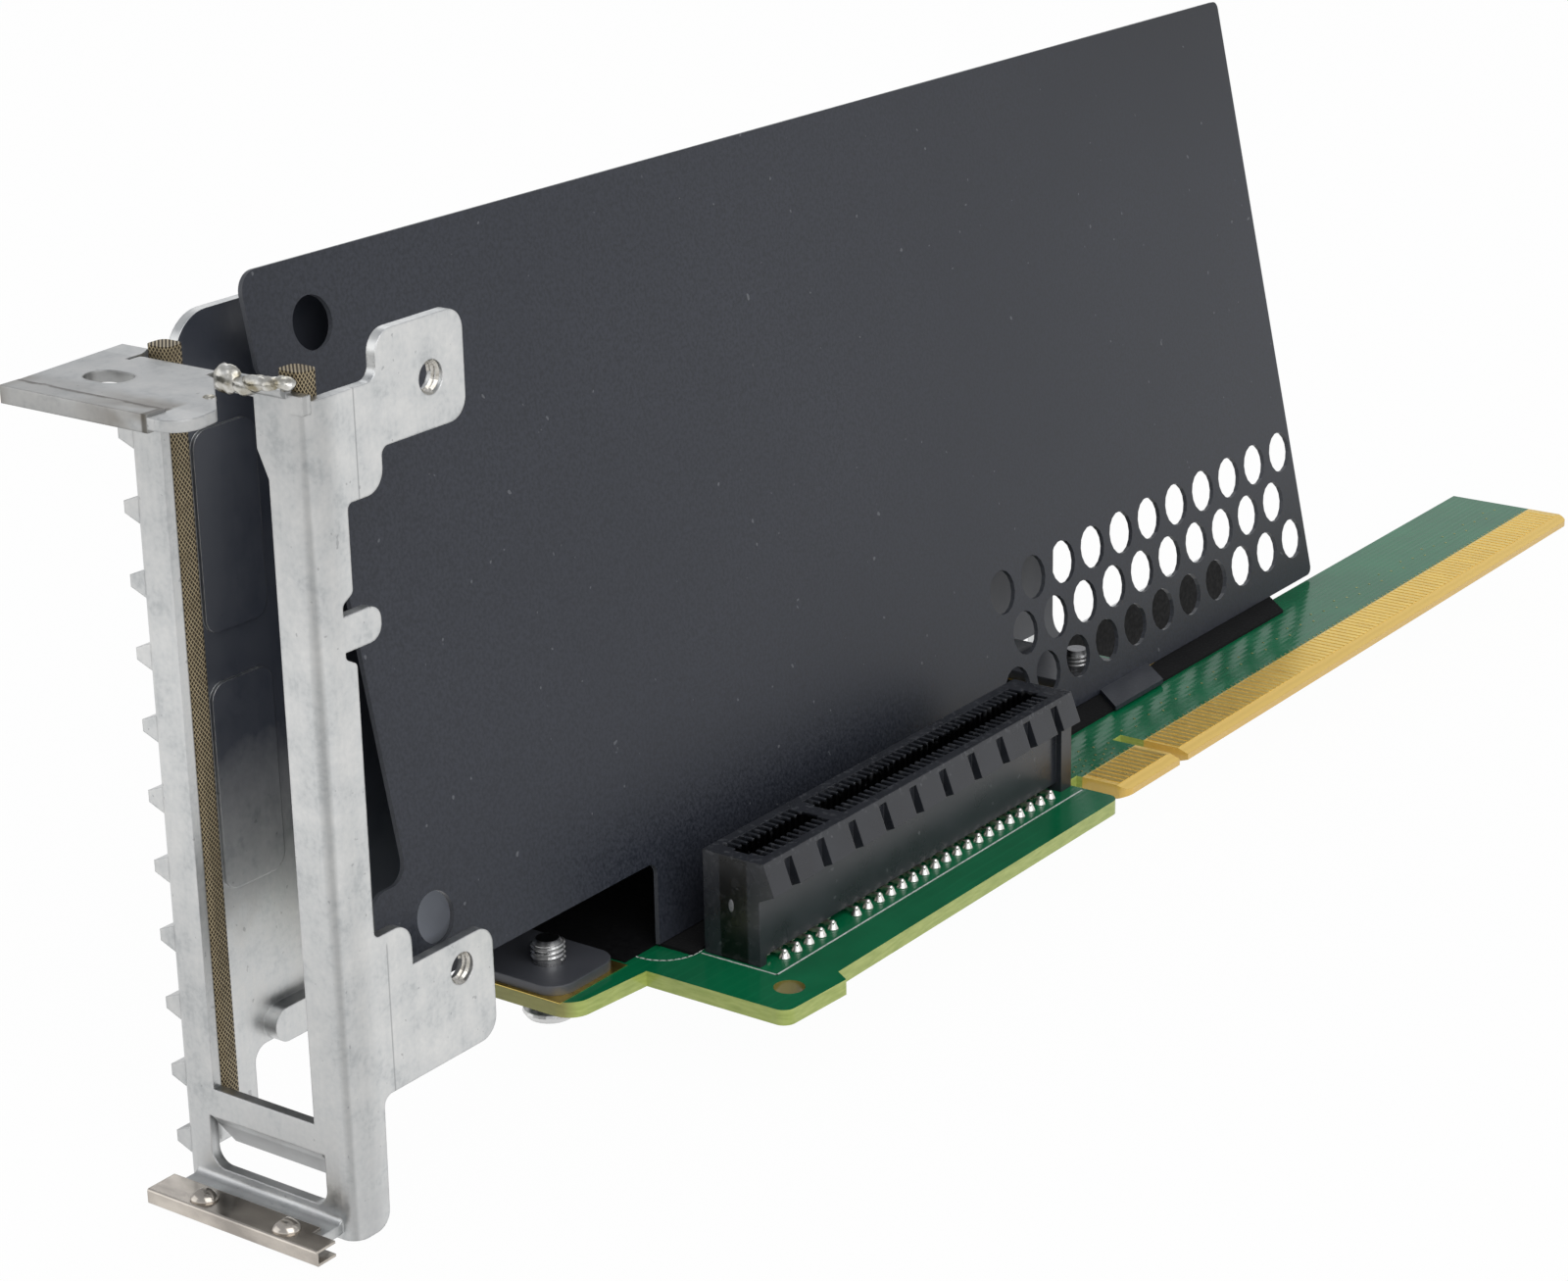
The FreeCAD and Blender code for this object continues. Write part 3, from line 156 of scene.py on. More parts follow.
tree.links.new(floor_ray.outputs["Is Glossy Ray"], mirrored.inputs[1])
tree.links.new(mirrored.outputs[0], whiteness.inputs[0])
tree.links.new(whiteness.outputs[0], floor_mix.inputs["Fac"])
tree.links.new(tree.nodes["Principled BSDF"].outputs[0], floor_mix.inputs[1])
tree.links.new(white.outputs[0], floor_mix.inputs[2])
tree.links.new(floor_mix.outputs[0], tree.nodes["Material Output"].inputs["Surface"])
floor_mesh.materials.append(paper)


# ---- Board --------------------------------------------------------------------------------
# Glass-fibre laminate under glossy green solder mask, routed to outline, with yellow-green cut
# edges. Along the tongue the mask stops and the amber laminate shows. The cut edge under the
# cage's front tab is painted darker and browner: painted shade.
def node(owner, kind, links=None, **values):
    """Add a node to a tree; links feed its inputs, values set its settings or its inputs."""
    item = owner.nodes.new(kind)
    for key, number in values.items():
        if hasattr(item, key):
            setattr(item, key, number)
        else:
            item.inputs[key.replace("_", " ")].default_value = number
    for key, output in (links or {}).items():
        owner.links.new(output, item.inputs[key])
    return item


def feed(owner, item, key, source):
    """Set an input from a node's output, a number or a colour."""
    if isinstance(source, bpy.types.NodeSocket):
        owner.links.new(source, item.inputs[key])
    elif isinstance(source, tuple):
        item.inputs[key].default_value = (*source, 1.0)
    else:
        item.inputs[key].default_value = source


def calc(owner, operation, first, second=0.0):
    item = node(owner, "ShaderNodeMath", operation=operation)
    feed(owner, item, 0, first)
    feed(owner, item, 1, second)
    return item.outputs[0]


def between(owner, source, low, high, to_low=0.0, to_high=1.0):
    """Map a value's range onto another, clamped at both ends."""
    item = node(owner, "ShaderNodeMapRange", {"Value": source})
    for key, number in (("From Min", low), ("From Max", high), ("To Min", to_low),
                        ("To Max", to_high)):
        item.inputs[key].default_value = number
    return item.outputs[0]


def both(owner, *masks):
    """The product of some masks, so that a point has to be in all of them."""
    result = masks[0]
    for mask in masks[1:]:
        result = calc(owner, "MULTIPLY", result, mask)
    return result


def most(owner, *masks):
    """The strongest of some masks."""
    result = masks[0]
    for mask in masks[1:]:
        result = calc(owner, "MAXIMUM", result, mask)
    return result


def near(owner, source, place, outer, inner):
    """A band round one place, nothing at the outer distance and full at the inner one."""
    off = calc(owner, "ABSOLUTE", calc(owner, "SUBTRACT", source, place))
    return between(owner, off, outer, inner)


def blend(owner, mask, first, second):
    """Mix two colours by a mask."""
    item = node(owner, "ShaderNodeMix", data_type="RGBA", blend_type="MIX")
    feed(owner, item, 0, mask)
    feed(owner, item, 6, first)
    feed(owner, item, 7, second)
    return item.outputs[2]


def ramp(owner, factor, *stops):
    """A colour ramp; each stop is a position and a colour."""
    item = node(owner, "ShaderNodeValToRGB", {"Fac": factor})
    while len(item.color_ramp.elements) < len(stops):
        item.color_ramp.elements.new(0.5)
    for element, (position, colour) in zip(item.color_ramp.elements, stops):
        element.position = position
        element.color = (*colour, 1.0)
    return item.outputs["Color"]


def spot(owner, scale=(1, 1, 1)):
    """Object coordinates, stretched."""
    source = node(owner, "ShaderNodeTexCoord").outputs["Object"]
    return node(owner, "ShaderNodeMapping", {"Vector": source}, Scale=scale).outputs[0]


def axes(owner):
    """The X, Y and Z of a point on the part."""
    return node(owner, "ShaderNodeSeparateXYZ", {"Vector": spot(owner)}).outputs


def away(owner, centre, scale=(1, 1, 1)):
    """The distance from a point, in stretched object coordinates."""
    item = node(owner, "ShaderNodeVectorMath", {0: spot(owner, scale)}, operation="DISTANCE")
    item.inputs[1].default_value = [place * stretch for place, stretch in zip(centre, scale)]
    return item.outputs["Value"]


def facing(owner):
    """The X, Y and Z of a face's own direction."""
    normal = node(owner, "ShaderNodeNewGeometry").outputs["True Normal"]
    return node(owner, "ShaderNodeSeparateXYZ", {"Vector": normal}).outputs


def noise(owner, vector, scale, detail=4.0, rough=0.55):
    return node(owner, "ShaderNodeTexNoise", {"Vector": vector}, Scale=scale, Detail=detail,
                Roughness=rough).outputs["Fac"]


def finish(made, colour=None, rough=None, height=None, distance=0.00005, strength=0.5,
           rounding=0.0):
    """Connect a material's colour, roughness and bump, over edges rounded for the light."""
    owner = made.node_tree
    bsdf = owner.nodes["Principled BSDF"]
    if colour is not None:
        owner.links.new(colour, bsdf.inputs["Base Color"])
    if rough is not None:
        owner.links.new(rough, bsdf.inputs["Roughness"])
    bump = node(owner, "ShaderNodeBump", {"Height": height}, Strength=strength,
                Distance=distance)
    if rounding:
        soft = node(owner, "ShaderNodeBevel", Radius=rounding, samples=4)
        owner.links.new(soft.outputs[0], bump.inputs["Normal"])
    owner.links.new(bump.outputs[0], bsdf.inputs["Normal"])


def dress(target, made):
    """Give an object this one material."""
    target.data.materials.clear()
    target.data.materials.append(made)


def effect(name, inputs, outputs):
    """A shader node group with named value inputs and outputs; returns it and its two ends."""
    made = bpy.data.node_groups.new(name, "ShaderNodeTree")
    made.interface.new_socket("Vector", in_out="INPUT", socket_type="NodeSocketVector")
    for key in inputs:
        made.interface.new_socket(key, in_out="INPUT", socket_type="NodeSocketFloat")
    for key in outputs:
        made.interface.new_socket(key, in_out="OUTPUT", socket_type="NodeSocketFloat")
    return made, made.nodes.new("NodeGroupInput"), made.nodes.new("NodeGroupOutput")


def use(owner, group, vector, **values):
    """Place an effect in a material with its own values."""
    item = owner.nodes.new("ShaderNodeGroup")
    item.node_tree = group
    owner.links.new(vector, item.inputs["Vector"])
    for key, number in values.items():
        item.inputs[key].default_value = number
    return item.outputs


specks, specks_in, specks_out = effect("dust_specks", ("Scale", "Rarity"), ("Mask",))
speck_noise = node(specks, "ShaderNodeTexNoise", {
    "Vector": specks_in.outputs["Vector"], "Scale": specks_in.outputs["Scale"]}, Detail=1.0)
speck_edge = calc(specks, "SUBTRACT", speck_noise.outputs["Fac"], specks_in.outputs["Rarity"])
specks.links.new(between(specks, speck_edge, 0.0, 0.02), specks_out.inputs["Mask"])

laminate = shader("board_laminate", 0.16, Specular_IOR_Level=0.5)
tree = laminate.node_tree
along = axes(tree)
board_spot = spot(tree)
flat = calc(tree, "GREATER_THAN", calc(tree, "ABSOLUTE", facing(tree)["Z"]), 0.9)
glass = node(tree, "ShaderNodeTexWave", {"Vector": board_spot}, Scale=420.0, Distortion=1.5)
traces = node(tree, "ShaderNodeTexWave", {"Vector": board_spot}, bands_direction="X",
              Scale=230.0, Distortion=5.0, Detail=1.0, Detail_Scale=0.12)
trace = both(tree, between(tree, traces.outputs["Fac"], 0.84, 0.90),
             between(tree, noise(tree, board_spot, 42, 1), 0.48, 0.54))
green = ramp(tree, noise(tree, board_spot, 90, 3), (0.3, (0.003, 0.135, 0.052)),
             (0.7, (0.005, 0.190, 0.075)))
traced = blend(tree, both(tree, trace, 0.35), green, (0.008, 0.200, 0.080))
amber = ramp(tree, glass.outputs["Fac"], (0.2, (0.90, 0.60, 0.13)), (0.8, (0.95, 0.64, 0.15)))
tongue = both(tree, between(tree, along["X"], 0.00325, 0.00338),
              between(tree, along["Y"], 0.0545, 0.0550))
edge = ramp(tree, noise(tree, spot(tree, (1, 1, 6)), 500, 3), (0.3, (0.32, 0.40, 0.085)),
            (0.7, (0.45, 0.52, 0.14)))
board_hole = (0.0077, -0.004, -0.0008)
in_hole = between(tree, away(tree, board_hole), 0.0019, 0.0017)
side = blend(tree, in_hole, blend(tree, tongue, edge, (0.78, 0.50, 0.11)), (0.20, 0.17, 0.04))
# Painted shade on the cut edge under the cage's front tab.
under_tab_shade = between(tree, along["X"], -0.0068, -0.0078)
side_shaded = blend(tree, both(tree, under_tab_shade, 0.6), side, (0.22, 0.16, 0.05))
finish(laminate, blend(tree, flat, side_shaded, blend(tree, tongue, traced, amber)),
       between(tree, noise(tree, board_spot, 300, 3), 0.3, 0.7, 0.11, 0.2),
       calc(tree, "ADD", both(tree, trace, 0.6), glass.outputs["Fac"]), 0.00002, 0.2)
dress(nodes["riser_board"], laminate)

# ---- Edge fingers and bare pads -----------------------------------------------------------
# Hard gold over nickel on copper, slightly uneven from finger to finger, with fine wiping
# marks across the board from earlier insertions.
gold = shader("gold_plate", 0.25, 1.0)
tree = gold.node_tree
wipe = noise(tree, spot(tree, (1, 5, 1)), 240, 2)
finish(gold, ramp(tree, wipe, (0.3, (0.97, 0.69, 0.17)), (0.7, (1.00, 0.74, 0.20))),
       between(tree, wipe, 0.3, 0.7, 0.26, 0.38), wipe, 0.00001, 0.15)
for name in ("edge_fingers_top", "edge_fingers_bottom", "ground_pads"):
    dress(nodes[name], gold)


# ---- Printed outline ----------------------------------------------------------------------
# White epoxy ink on the solder mask: the slot's outline with its right side, and the round
# outline of a capacitor that isn't fitted, with one filled quarter.
def piece(name, work, made):
    """A new object from a bmesh, riding on the one body."""
    mesh = bpy.data.meshes.new(name)
    bmesh.ops.recalc_face_normals(work, faces=work.faces)
    work.to_mesh(mesh)
    work.free()
    item = bpy.data.objects.new(name, mesh)
    scene.collection.objects.link(item)
    dress(item, made)
    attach(item, "root")
    return item


def slab(work, outline, low, high):
    """A thin plate over a plan outline."""
    foot = [work.verts.new((x, y, low)) for x, y in outline]
    top = [work.verts.new((x, y, high)) for x, y in outline]
    work.faces.new(foot[::-1])
    work.faces.new(top)
    for i in range(len(outline)):
        k = (i + 1) % len(outline)
        work.faces.new((foot[i], foot[k], top[k], top[i]))


def stroke(work, points, width, low, high):
    """A printed line of one width along plan points, one plate for each run."""
    for start, end in zip(points, points[1:]):
        run = (Vector(end) - Vector(start)).normalized()
        out = Vector((-run.y, run.x)) * width / 2
        first = Vector(start) - run * width / 2
        last = Vector(end) + run * width / 2
        slab(work, [first - out, last - out, last + out, first + out], low, high)


board_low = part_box("riser_board")[0]
board_top = 0.0
housing_low, housing_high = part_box("slot_housing")
ink_low, ink_high = board_top + 0.00001, board_top + 0.00003
line_width = 0.00019
print_right = housing_high[0] + 0.00045
print_front = housing_low[1] - 0.0004
ink_mesh = bmesh.new()
stroke(ink_mesh, [(housing_low[0], print_front), (print_right, print_front),
                  (print_right, housing_high[1] - 0.0004)], line_width, ink_low, ink_high)
part_centre = Vector((-0.0080, -0.0026))
part_radius = 0.0040
ring = [part_centre + part_radius * Vector((cos(radians(a)), sin(radians(a))))
        for a in range(-170, 61, 10)]
stroke(ink_mesh, ring, line_width, ink_low, ink_high)
quarter = [part_centre + 0.8 * part_radius * Vector((cos(radians(a)), sin(radians(a))))
           for a in range(5, 66, 10)]
slab(ink_mesh, [part_centre + Vector((0.0016, 0.0006))] + quarter, ink_low, ink_high)
ink = shader("white_ink", 0.5)
tree = ink.node_tree
worn = noise(tree, spot(tree), 2200, 3)
finish(ink, ramp(tree, worn, (0.35, (0.50, 0.58, 0.52)), (0.6, (0.80, 0.83, 0.80))),
       between(tree, worn, 0.3, 0.7, 0.4, 0.6), worn, 0.00001, 0.3)
piece("printed_outline", ink_mesh, ink)


# ---- Plated holes -------------------------------------------------------------------------
# Small tinned rings where signals change layer: one beside each edge finger's root and
# scattered groups between the slot and the tongue, set out by one small node tree.
def set_out(name, source, places, made):
    """Copies of a small mesh on given points, made by Geometry Nodes and kept as one mesh."""
    pattern = bpy.data.objects.new(name + "_pattern", source)
    scene.collection.objects.link(pattern)
    points = bpy.data.meshes.new(name)
    points.from_pydata(places, [], [])
    item = bpy.data.objects.new(name, points)
    scene.collection.objects.link(item)
    nodes_tree = bpy.data.node_groups.new("set_out_" + name, "GeometryNodeTree")
    for key, kind in (("Places", "NodeSocketGeometry"), ("Pattern", "NodeSocketObject"),
                      ("Finish", "NodeSocketMaterial")):
        nodes_tree.interface.new_socket(key, in_out="INPUT", socket_type=kind)
    nodes_tree.interface.new_socket("Result", in_out="OUTPUT", socket_type="NodeSocketGeometry")
    entry = nodes_tree.nodes.new("NodeGroupInput")
    leave = nodes_tree.nodes.new("NodeGroupOutput")
    shape = node(nodes_tree, "GeometryNodeObjectInfo", {"Object": entry.outputs["Pattern"]})
    copies = node(nodes_tree, "GeometryNodeInstanceOnPoints",
                  {"Points": entry.outputs["Places"], "Instance": shape.outputs["Geometry"]})
    solid = node(nodes_tree, "GeometryNodeRealizeInstances", {"Geometry": copies.outputs[0]})
    dressed = node(nodes_tree, "GeometryNodeSetMaterial",
                   {"Geometry": solid.outputs[0], "Material": entry.outputs["Finish"]})
    nodes_tree.links.new(dressed.outputs[0], leave.inputs["Result"])
    modifier = item.modifiers.new("set_out", "NODES")
    modifier.node_group = nodes_tree
    for key, target in (("Pattern", pattern), ("Finish", made)):
        modifier[nodes_tree.interface.items_tree[key].identifier] = target
    bpy.context.view_layer.update()
    ready = item.evaluated_get(bpy.context.evaluated_depsgraph_get())
    mesh = bpy.data.meshes.new_from_object(ready)
    item.modifiers.clear()
    item.data = mesh
    dress(item, made)
    bpy.data.objects.remove(pattern)
    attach(item, "root")
    return item


def turned(name, profile, sides):
    """A mesh turned round Z from radius and height pairs."""
    work = bmesh.new()
    rings = []
    for radius, height in profile:
        rings.append([work.verts.new((radius * cos(2 * pi * i / sides),
                                      radius * sin(2 * pi * i / sides), height))
                      for i in range(sides)])
    for low_ring, high_ring in zip(rings, rings[1:]):
        for i in range(sides):
            k = (i + 1) % sides
            work.faces.new((low_ring[i], low_ring[k], high_ring[k], high_ring[i]))
    work.faces.new(rings[0][::-1])
    work.faces.new(rings[-1])
    for face in work.faces:
        face.smooth = len(face.verts) == 4
    mesh = bpy.data.meshes.new(name)
    work.to_mesh(mesh)
    work.free()
    return mesh


fingers_low, fingers_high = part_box("edge_fingers_top")
finger_pitch = 0.001
finger_middle = fingers_low[1] + 0.00035
finger_count = int((fingers_high[1] - fingers_low[1]) / finger_pitch)
key_start, key_end = 0.0664, 0.0697
via_level = board_top + 0.00001
via_places = []
for i in range(finger_count):
    y = finger_middle + i * finger_pitch
    if key_start < y < key_end:
        continue
    via_places.append((fingers_low[0] - 0.0004, y, via_level))
    if i % 2:
        via_places.append((fingers_low[0] - 0.0030 - 0.0007 * (i % 3), y, via_level))
group_x, group_y, group_step = 0.0012, 0.0560, 0.0007
for i in range(14):
    via_places.append((group_x + 0.0006 * (i % 3), group_y + group_step * i, via_level))
tin = shader("tinned_copper", 0.3, 1.0)
tree = tin.node_tree
tarnish = noise(tree, spot(tree), 1800, 3)
finish(tin, ramp(tree, tarnish, (0.3, (0.30, 0.34, 0.14)), (0.7, (0.46, 0.44, 0.20))),
       between(tree, tarnish, 0.3, 0.7, 0.25, 0.4), tarnish, 0.00001, 0.3)
ring_profile = [(0.00016, 0.0), (0.00016, 0.00002), (0.00010, 0.00003), (0.00008, 0.000005)]
set_out("plated_holes", turned("plated_hole", ring_profile, 8), via_places, tin)

# ---- Slot housing -------------------------------------------------------------------------
# Black moulded nylon with a satin skin: fine grain, faint flow marks, chalky rubbed edges and
# a few specks of dust, with painted shade, near black, inside the card slot. The near end keeps
# the pale oval of an ejector pin.
grain, grain_in, grain_out = effect("moulded_grain", ("Scale",), ("Height", "Flow"))
fine = node(grain, "ShaderNodeTexNoise", {
    "Vector": grain_in.outputs["Vector"], "Scale": grain_in.outputs["Scale"]}, Detail=3.0)
flow = node(grain, "ShaderNodeTexNoise", {"Vector": grain_in.outputs["Vector"]}, Scale=160.0,
            Detail=3.0)
grain.links.new(fine.outputs["Fac"], grain_out.inputs["Height"])
grain.links.new(flow.outputs["Fac"], grain_out.inputs["Flow"])

nylon = shader("black_nylon", 0.3, Specular_IOR_Level=0.5)
tree = nylon.node_tree
skin = use(tree, grain, spot(tree), Scale=2600.0)
dust = use(tree, specks, spot(tree), Scale=900.0, Rarity=0.74)
body = ramp(tree, skin["Flow"], (0.3, (0.016, 0.0175, 0.022)), (0.7, (0.025, 0.0275, 0.034)))
along = axes(tree)
# Painted shade: the card slot is painted near black inside.
slot_shade_mask = both(tree, near(tree, along["X"], 0.0, 0.0017, 0.0015),
                 between(tree, along["Z"], 0.01068, 0.0104))
slot_shaded = blend(tree, slot_shade_mask, body, (0.001, 0.001, 0.0012))
chalk = use(tree, specks, spot(tree), Scale=1700.0, Rarity=0.60)
rubbed = most(tree, between(tree, along["Z"], 0.0099, 0.0106),
              between(tree, along["Y"], -0.0017, -0.0020, 0.0, 0.3))
dusty = most(tree, both(tree, chalk["Mask"], rubbed, 0.16), both(tree, dust["Mask"], 0.25))
finish(nylon, blend(tree, dusty, slot_shaded, (0.22, 0.225, 0.24)),
       between(tree, skin["Flow"], 0.3, 0.7, 0.24, 0.34), skin["Height"], 0.00001, 0.3, 0.00012)
dress(nodes["slot_housing"], nylon)

pin_mesh = turned("ejector_mark", [(0.00030, 0.0), (0.00034, 0.00002), (0.00026, 0.00005)], 20)
pin_x, pin_z = -0.0003, 0.0056
for vertex in pin_mesh.vertices:
    x, y, z = vertex.co
    vertex.co = (pin_x + 0.9 * x, housing_low[1] + 0.00002 - z, pin_z + 2.0 * y)
pin = bmesh.new()
pin.from_mesh(pin_mesh)
mark = shader("rubbed_nylon", 0.45)
tree = mark.node_tree
rub = noise(tree, spot(tree), 3000, 3)
finish(mark, ramp(tree, rub, (0.3, (0.12, 0.12, 0.125)), (0.7, (0.24, 0.24, 0.25))),
       between(tree, rub, 0.3, 0.7, 0.4, 0.55), rub, 0.00001, 0.3)
piece("ejector_mark", pin, mark)

# ---- Slot contacts ------------------------------------------------------------------------
# Stamped copper alloy, tinned on the tail and gold on the sprung bow, which darkens towards
# its tip inside the slot.
alloy = shader("contact_alloy", 0.3, 1.0)
tree = alloy.node_tree
rise = axes(tree)["Z"]
strip = noise(tree, spot(tree), 700, 2)
tinned = ramp(tree, strip, (0.3, (0.76, 0.72, 0.63)), (0.7, (0.90, 0.86, 0.77)))
sprung = blend(tree, between(tree, rise, 0.005, 0.008), (0.30, 0.19, 0.06), (0.05, 0.035, 0.015))
finish(alloy, blend(tree, between(tree, rise, 0.001, 0.004), tinned, sprung),
       between(tree, strip, 0.3, 0.7, 0.22, 0.4), strip, 0.00002, 0.2)
for side_name in ("left", "right"):
    for row in ("outer", "inner"):
        dress(nodes[f"contacts_{row}_{side_name}"], alloy)

# ---- Solder joints ------------------------------------------------------------------------
# A small bright cone of solder round every tail, on top of the board along the outer rows
# and under it along all four.
solder = shader("bright_solder", 0.3, 1.0)
tree = solder.node_tree
wet = noise(tree, spot(tree), 1300, 3)
finish(solder, ramp(tree, wet, (0.3, (0.84, 0.82, 0.77)), (0.7, (0.96, 0.95, 0.92))),
       between(tree, wet, 0.3, 0.7, 0.24, 0.42), wet, 0.00003, 0.35)
contact_pitch = 0.001
cone = [(0.00058, 0.0), (0.00055, 0.00012), (0.00045, 0.00032), (0.00034, 0.00054),
        (0.00025, 0.00074), (0.00016, 0.00090), (0.00007, 0.00095)]
first_long = 13
tails = {"outer": [(1, 5), (first_long, 19)], "inner": [(0, 6), (first_long + 1, 19)]}
reach = {"outer": 0.00359, "inner": 0.0017}
above, below = [], []
for row, groups in tails.items():
    for start, count in groups:
        for i in range(count):
            y = (start + 2 * i) * contact_pitch
            for turn in (-1, 1):
                below.append((turn * reach[row], y, board_low[2]))
                if row == "outer":
                    above.append((turn * reach[row], y, board_top))
set_out("solder_above", turned("solder_cone", cone, 12), above, solder)
cone_below = [(radius, -height) for radius, height in cone]
under = turned("solder_cone_below", cone_below, 10)
under.flip_normals()
set_out("solder_below", under, below, solder)

# ---- Cage ---------------------------------------------------------------------------------
# One sheet of hot-dip galvanised steel, pierced and folded: pale mottled zinc with rolling
# streaks up the folds, darker low down, and scribed lines where the ears begin. Drips of zinc
# have set over the two beads beside the top tab.
mottle, mottle_in, mottle_out = effect("zinc_mottle", ("Scale",), ("Cloud", "Fine"))
cloud = node(mottle, "ShaderNodeTexNoise", {
    "Vector": mottle_in.outputs["Vector"], "Scale": mottle_in.outputs["Scale"]}, Detail=5.0)
fine_scale = calc(mottle, "MULTIPLY", mottle_in.outputs["Scale"], 6.0)
fine = node(mottle, "ShaderNodeTexNoise", {
    "Vector": mottle_in.outputs["Vector"], "Scale": fine_scale}, Detail=3.0)
mottle.links.new(cloud.outputs["Fac"], mottle_out.inputs["Cloud"])
mottle.links.new(fine.outputs["Fac"], mottle_out.inputs["Fine"])

steel = shader("galvanised_sheet", 0.38, 1.0)
tree = steel.node_tree
along = axes(tree)
across, behind, height = along["X"], along["Y"], along["Z"]
zinc = use(tree, mottle, spot(tree), Scale=330.0)
streak = noise(tree, spot(tree, (1, 1, 0.04)), 1100, 3, 0.6)
tone = calc(tree, "ADD", both(tree, zinc["Cloud"], 0.55),
            calc(tree, "ADD", both(tree, zinc["Fine"], 0.28), both(tree, streak, 0.17)))
sheet = ramp(tree, tone, (0.36, (0.50, 0.515, 0.52)), (0.46, (0.61, 0.62, 0.62)),
             (0.54, (0.66, 0.665, 0.66)), (0.64, (0.72, 0.72, 0.71)))
pits = use(tree, specks, spot(tree), Scale=1500.0, Rarity=0.75)
pitted = blend(tree, both(tree, pits["Mask"], 0.35), sheet, (0.15, 0.15, 0.16))
scribe_y = -0.04405
scribed = both(tree, near(tree, behind, scribe_y, 0.00011, 0.00005),
               between(tree, across, -0.0060, -0.0057),
               most(tree, between(tree, height, 0.0558, 0.0562),
                    between(tree, height, 0.0165, 0.0160)), 0.5)
lined = blend(tree, scribed, pitted, (0.22, 0.22, 0.23))

# The top tab: a dark line behind its hem, a painted shadow at the hem's right end, stains over
# the hem, a burr at its hole, and painted shade over its top, left off its right front lip so
# that the lip stays bright.
hem_y, hem_end_x = -0.0611, -0.0096
ragged = calc(tree, "ADD", behind,
              between(tree, noise(tree, spot(tree), 260, 4), 0.2, 0.8, -0.0006, 0.0006))
on_tab = between(tree, height, 0.0640, 0.0648)
hem_span = both(tree, on_tab, between(tree, across, hem_end_x + 0.0004, hem_end_x))
tab_ends = most(tree, between(tree, across, -0.0180, -0.0125),
                between(tree, across, -0.0245, -0.0262))
patch = between(tree, noise(tree, spot(tree, (0.6, 1, 1)), 190, 3), 0.36, 0.52)
stain = both(tree, between(tree, ragged, -0.0582, -0.0596), hem_span, patch,
             between(tree, tab_ends, 0.0, 1.0, 0.2, 0.6))
hem_line = both(tree, near(tree, ragged, hem_y, 0.0005, 0.0002), hem_span)
# A painted shadow at the hem's right end.
hem_end_shadow = both(tree, near(tree, across, hem_end_x, 0.0004, 0.0002),
               between(tree, behind, -0.0602, -0.0606), on_tab)
tab_hole = (-0.0203, -0.05621, 0.0)
burr = both(tree, between(tree, away(tree, tab_hole, (435, 625, 0)), 1.25, 1.0), on_tab,
            between(tree, across, -0.0195, -0.0225, 0.1, 0.8))
hem_marks_and_shadow = both(tree, most(tree, hem_line, hem_end_shadow, burr), 0.75)
stained_and_shadowed = blend(tree, hem_marks_and_shadow, blend(tree, stain, lined, (0.20, 0.165, 0.12)),
                (0.075, 0.062, 0.045))
lip = both(tree, between(tree, across, hem_end_x, -0.0090),
           between(tree, behind, -0.0598, -0.0618))
# Painted shade over the tab's top, left off the right front lip.
tab_shade = both(tree, between(tree, behind, -0.0500, -0.0508), on_tab,
                 between(tree, lip, 0.0, 1.0, 0.34, 0.0))

# Painted shade: the bend between face and flange is painted a little darker, with a darker line
# along the fold, and so is the guide lip behind the bar.
bend_y = -0.0497
bend_zone = calc(tree, "ADD", between(tree, height, 0.040, 0.062, 0.03, 0.26),
                 between(tree, height, 0.030, 0.010, 0.0, 0.14))
bend_shade = both(tree, between(tree, behind, -0.0458, -0.0476), bend_zone)
fold_shade_line = both(tree, near(tree, behind, bend_y, 0.0006, 0.0002),
                 between(tree, across, -0.0068, -0.0061), 0.38)
guide_lip_shade = both(tree, between(tree, behind, -0.0496, -0.0492),
                 between(tree, behind, -0.0460, -0.0465),
                 between(tree, height, -0.0018, -0.0026),
                 between(tree, height, -0.0072, -0.0066),
                 between(tree, across, -0.0070, -0.0080), 0.55)
# All of these are painted shade, mixed towards near black.
painted_shade = most(tree, tab_shade, guide_lip_shade, bend_shade, fold_shade_line)
# Darker low down, following the mottle.
darker_low_down = both(tree, between(tree, height, 0.004, -0.009),
                between(tree, zinc["Cloud"], 0.42, 0.6), 0.35)
shaded_and_darker_low = blend(tree, darker_low_down, blend(tree, painted_shade, stained_and_shadowed, (0.03, 0.03, 0.03)),
               (0.34, 0.35, 0.37))

# Painted shade on the wall's inner face where the film stands close to it, fading to bare zinc
# at the foot of the bracket, with a painted pool of light behind the film's lower hole, and a
# paler painted shade on the two tabs on the board. Where shade is painted the sheet is made
# nearly non-metallic.
lower_hole = (-0.0250, -0.0166, 0.0050)
inner_face = both(tree, between(tree, facing(tree)["X"], 0.6, 0.9),
                  between(tree, across, -0.0235, -0.0243))
smeared = calc(tree, "ADD", height,
               between(tree, zinc["Cloud"], 0.3, 0.7, -0.0015, 0.0015))
dimmed = most(tree, between(tree, smeared, 0.0120, 0.0300),
              between(tree, behind, -0.032, -0.028))
board_tabs = both(tree, between(tree, height, 0.0022, 0.0018),
                  between(tree, height, -0.0010, -0.0002),
                  between(tree, across, -0.0225, -0.0215),
                  between(tree, behind, -0.0215, -0.0205))
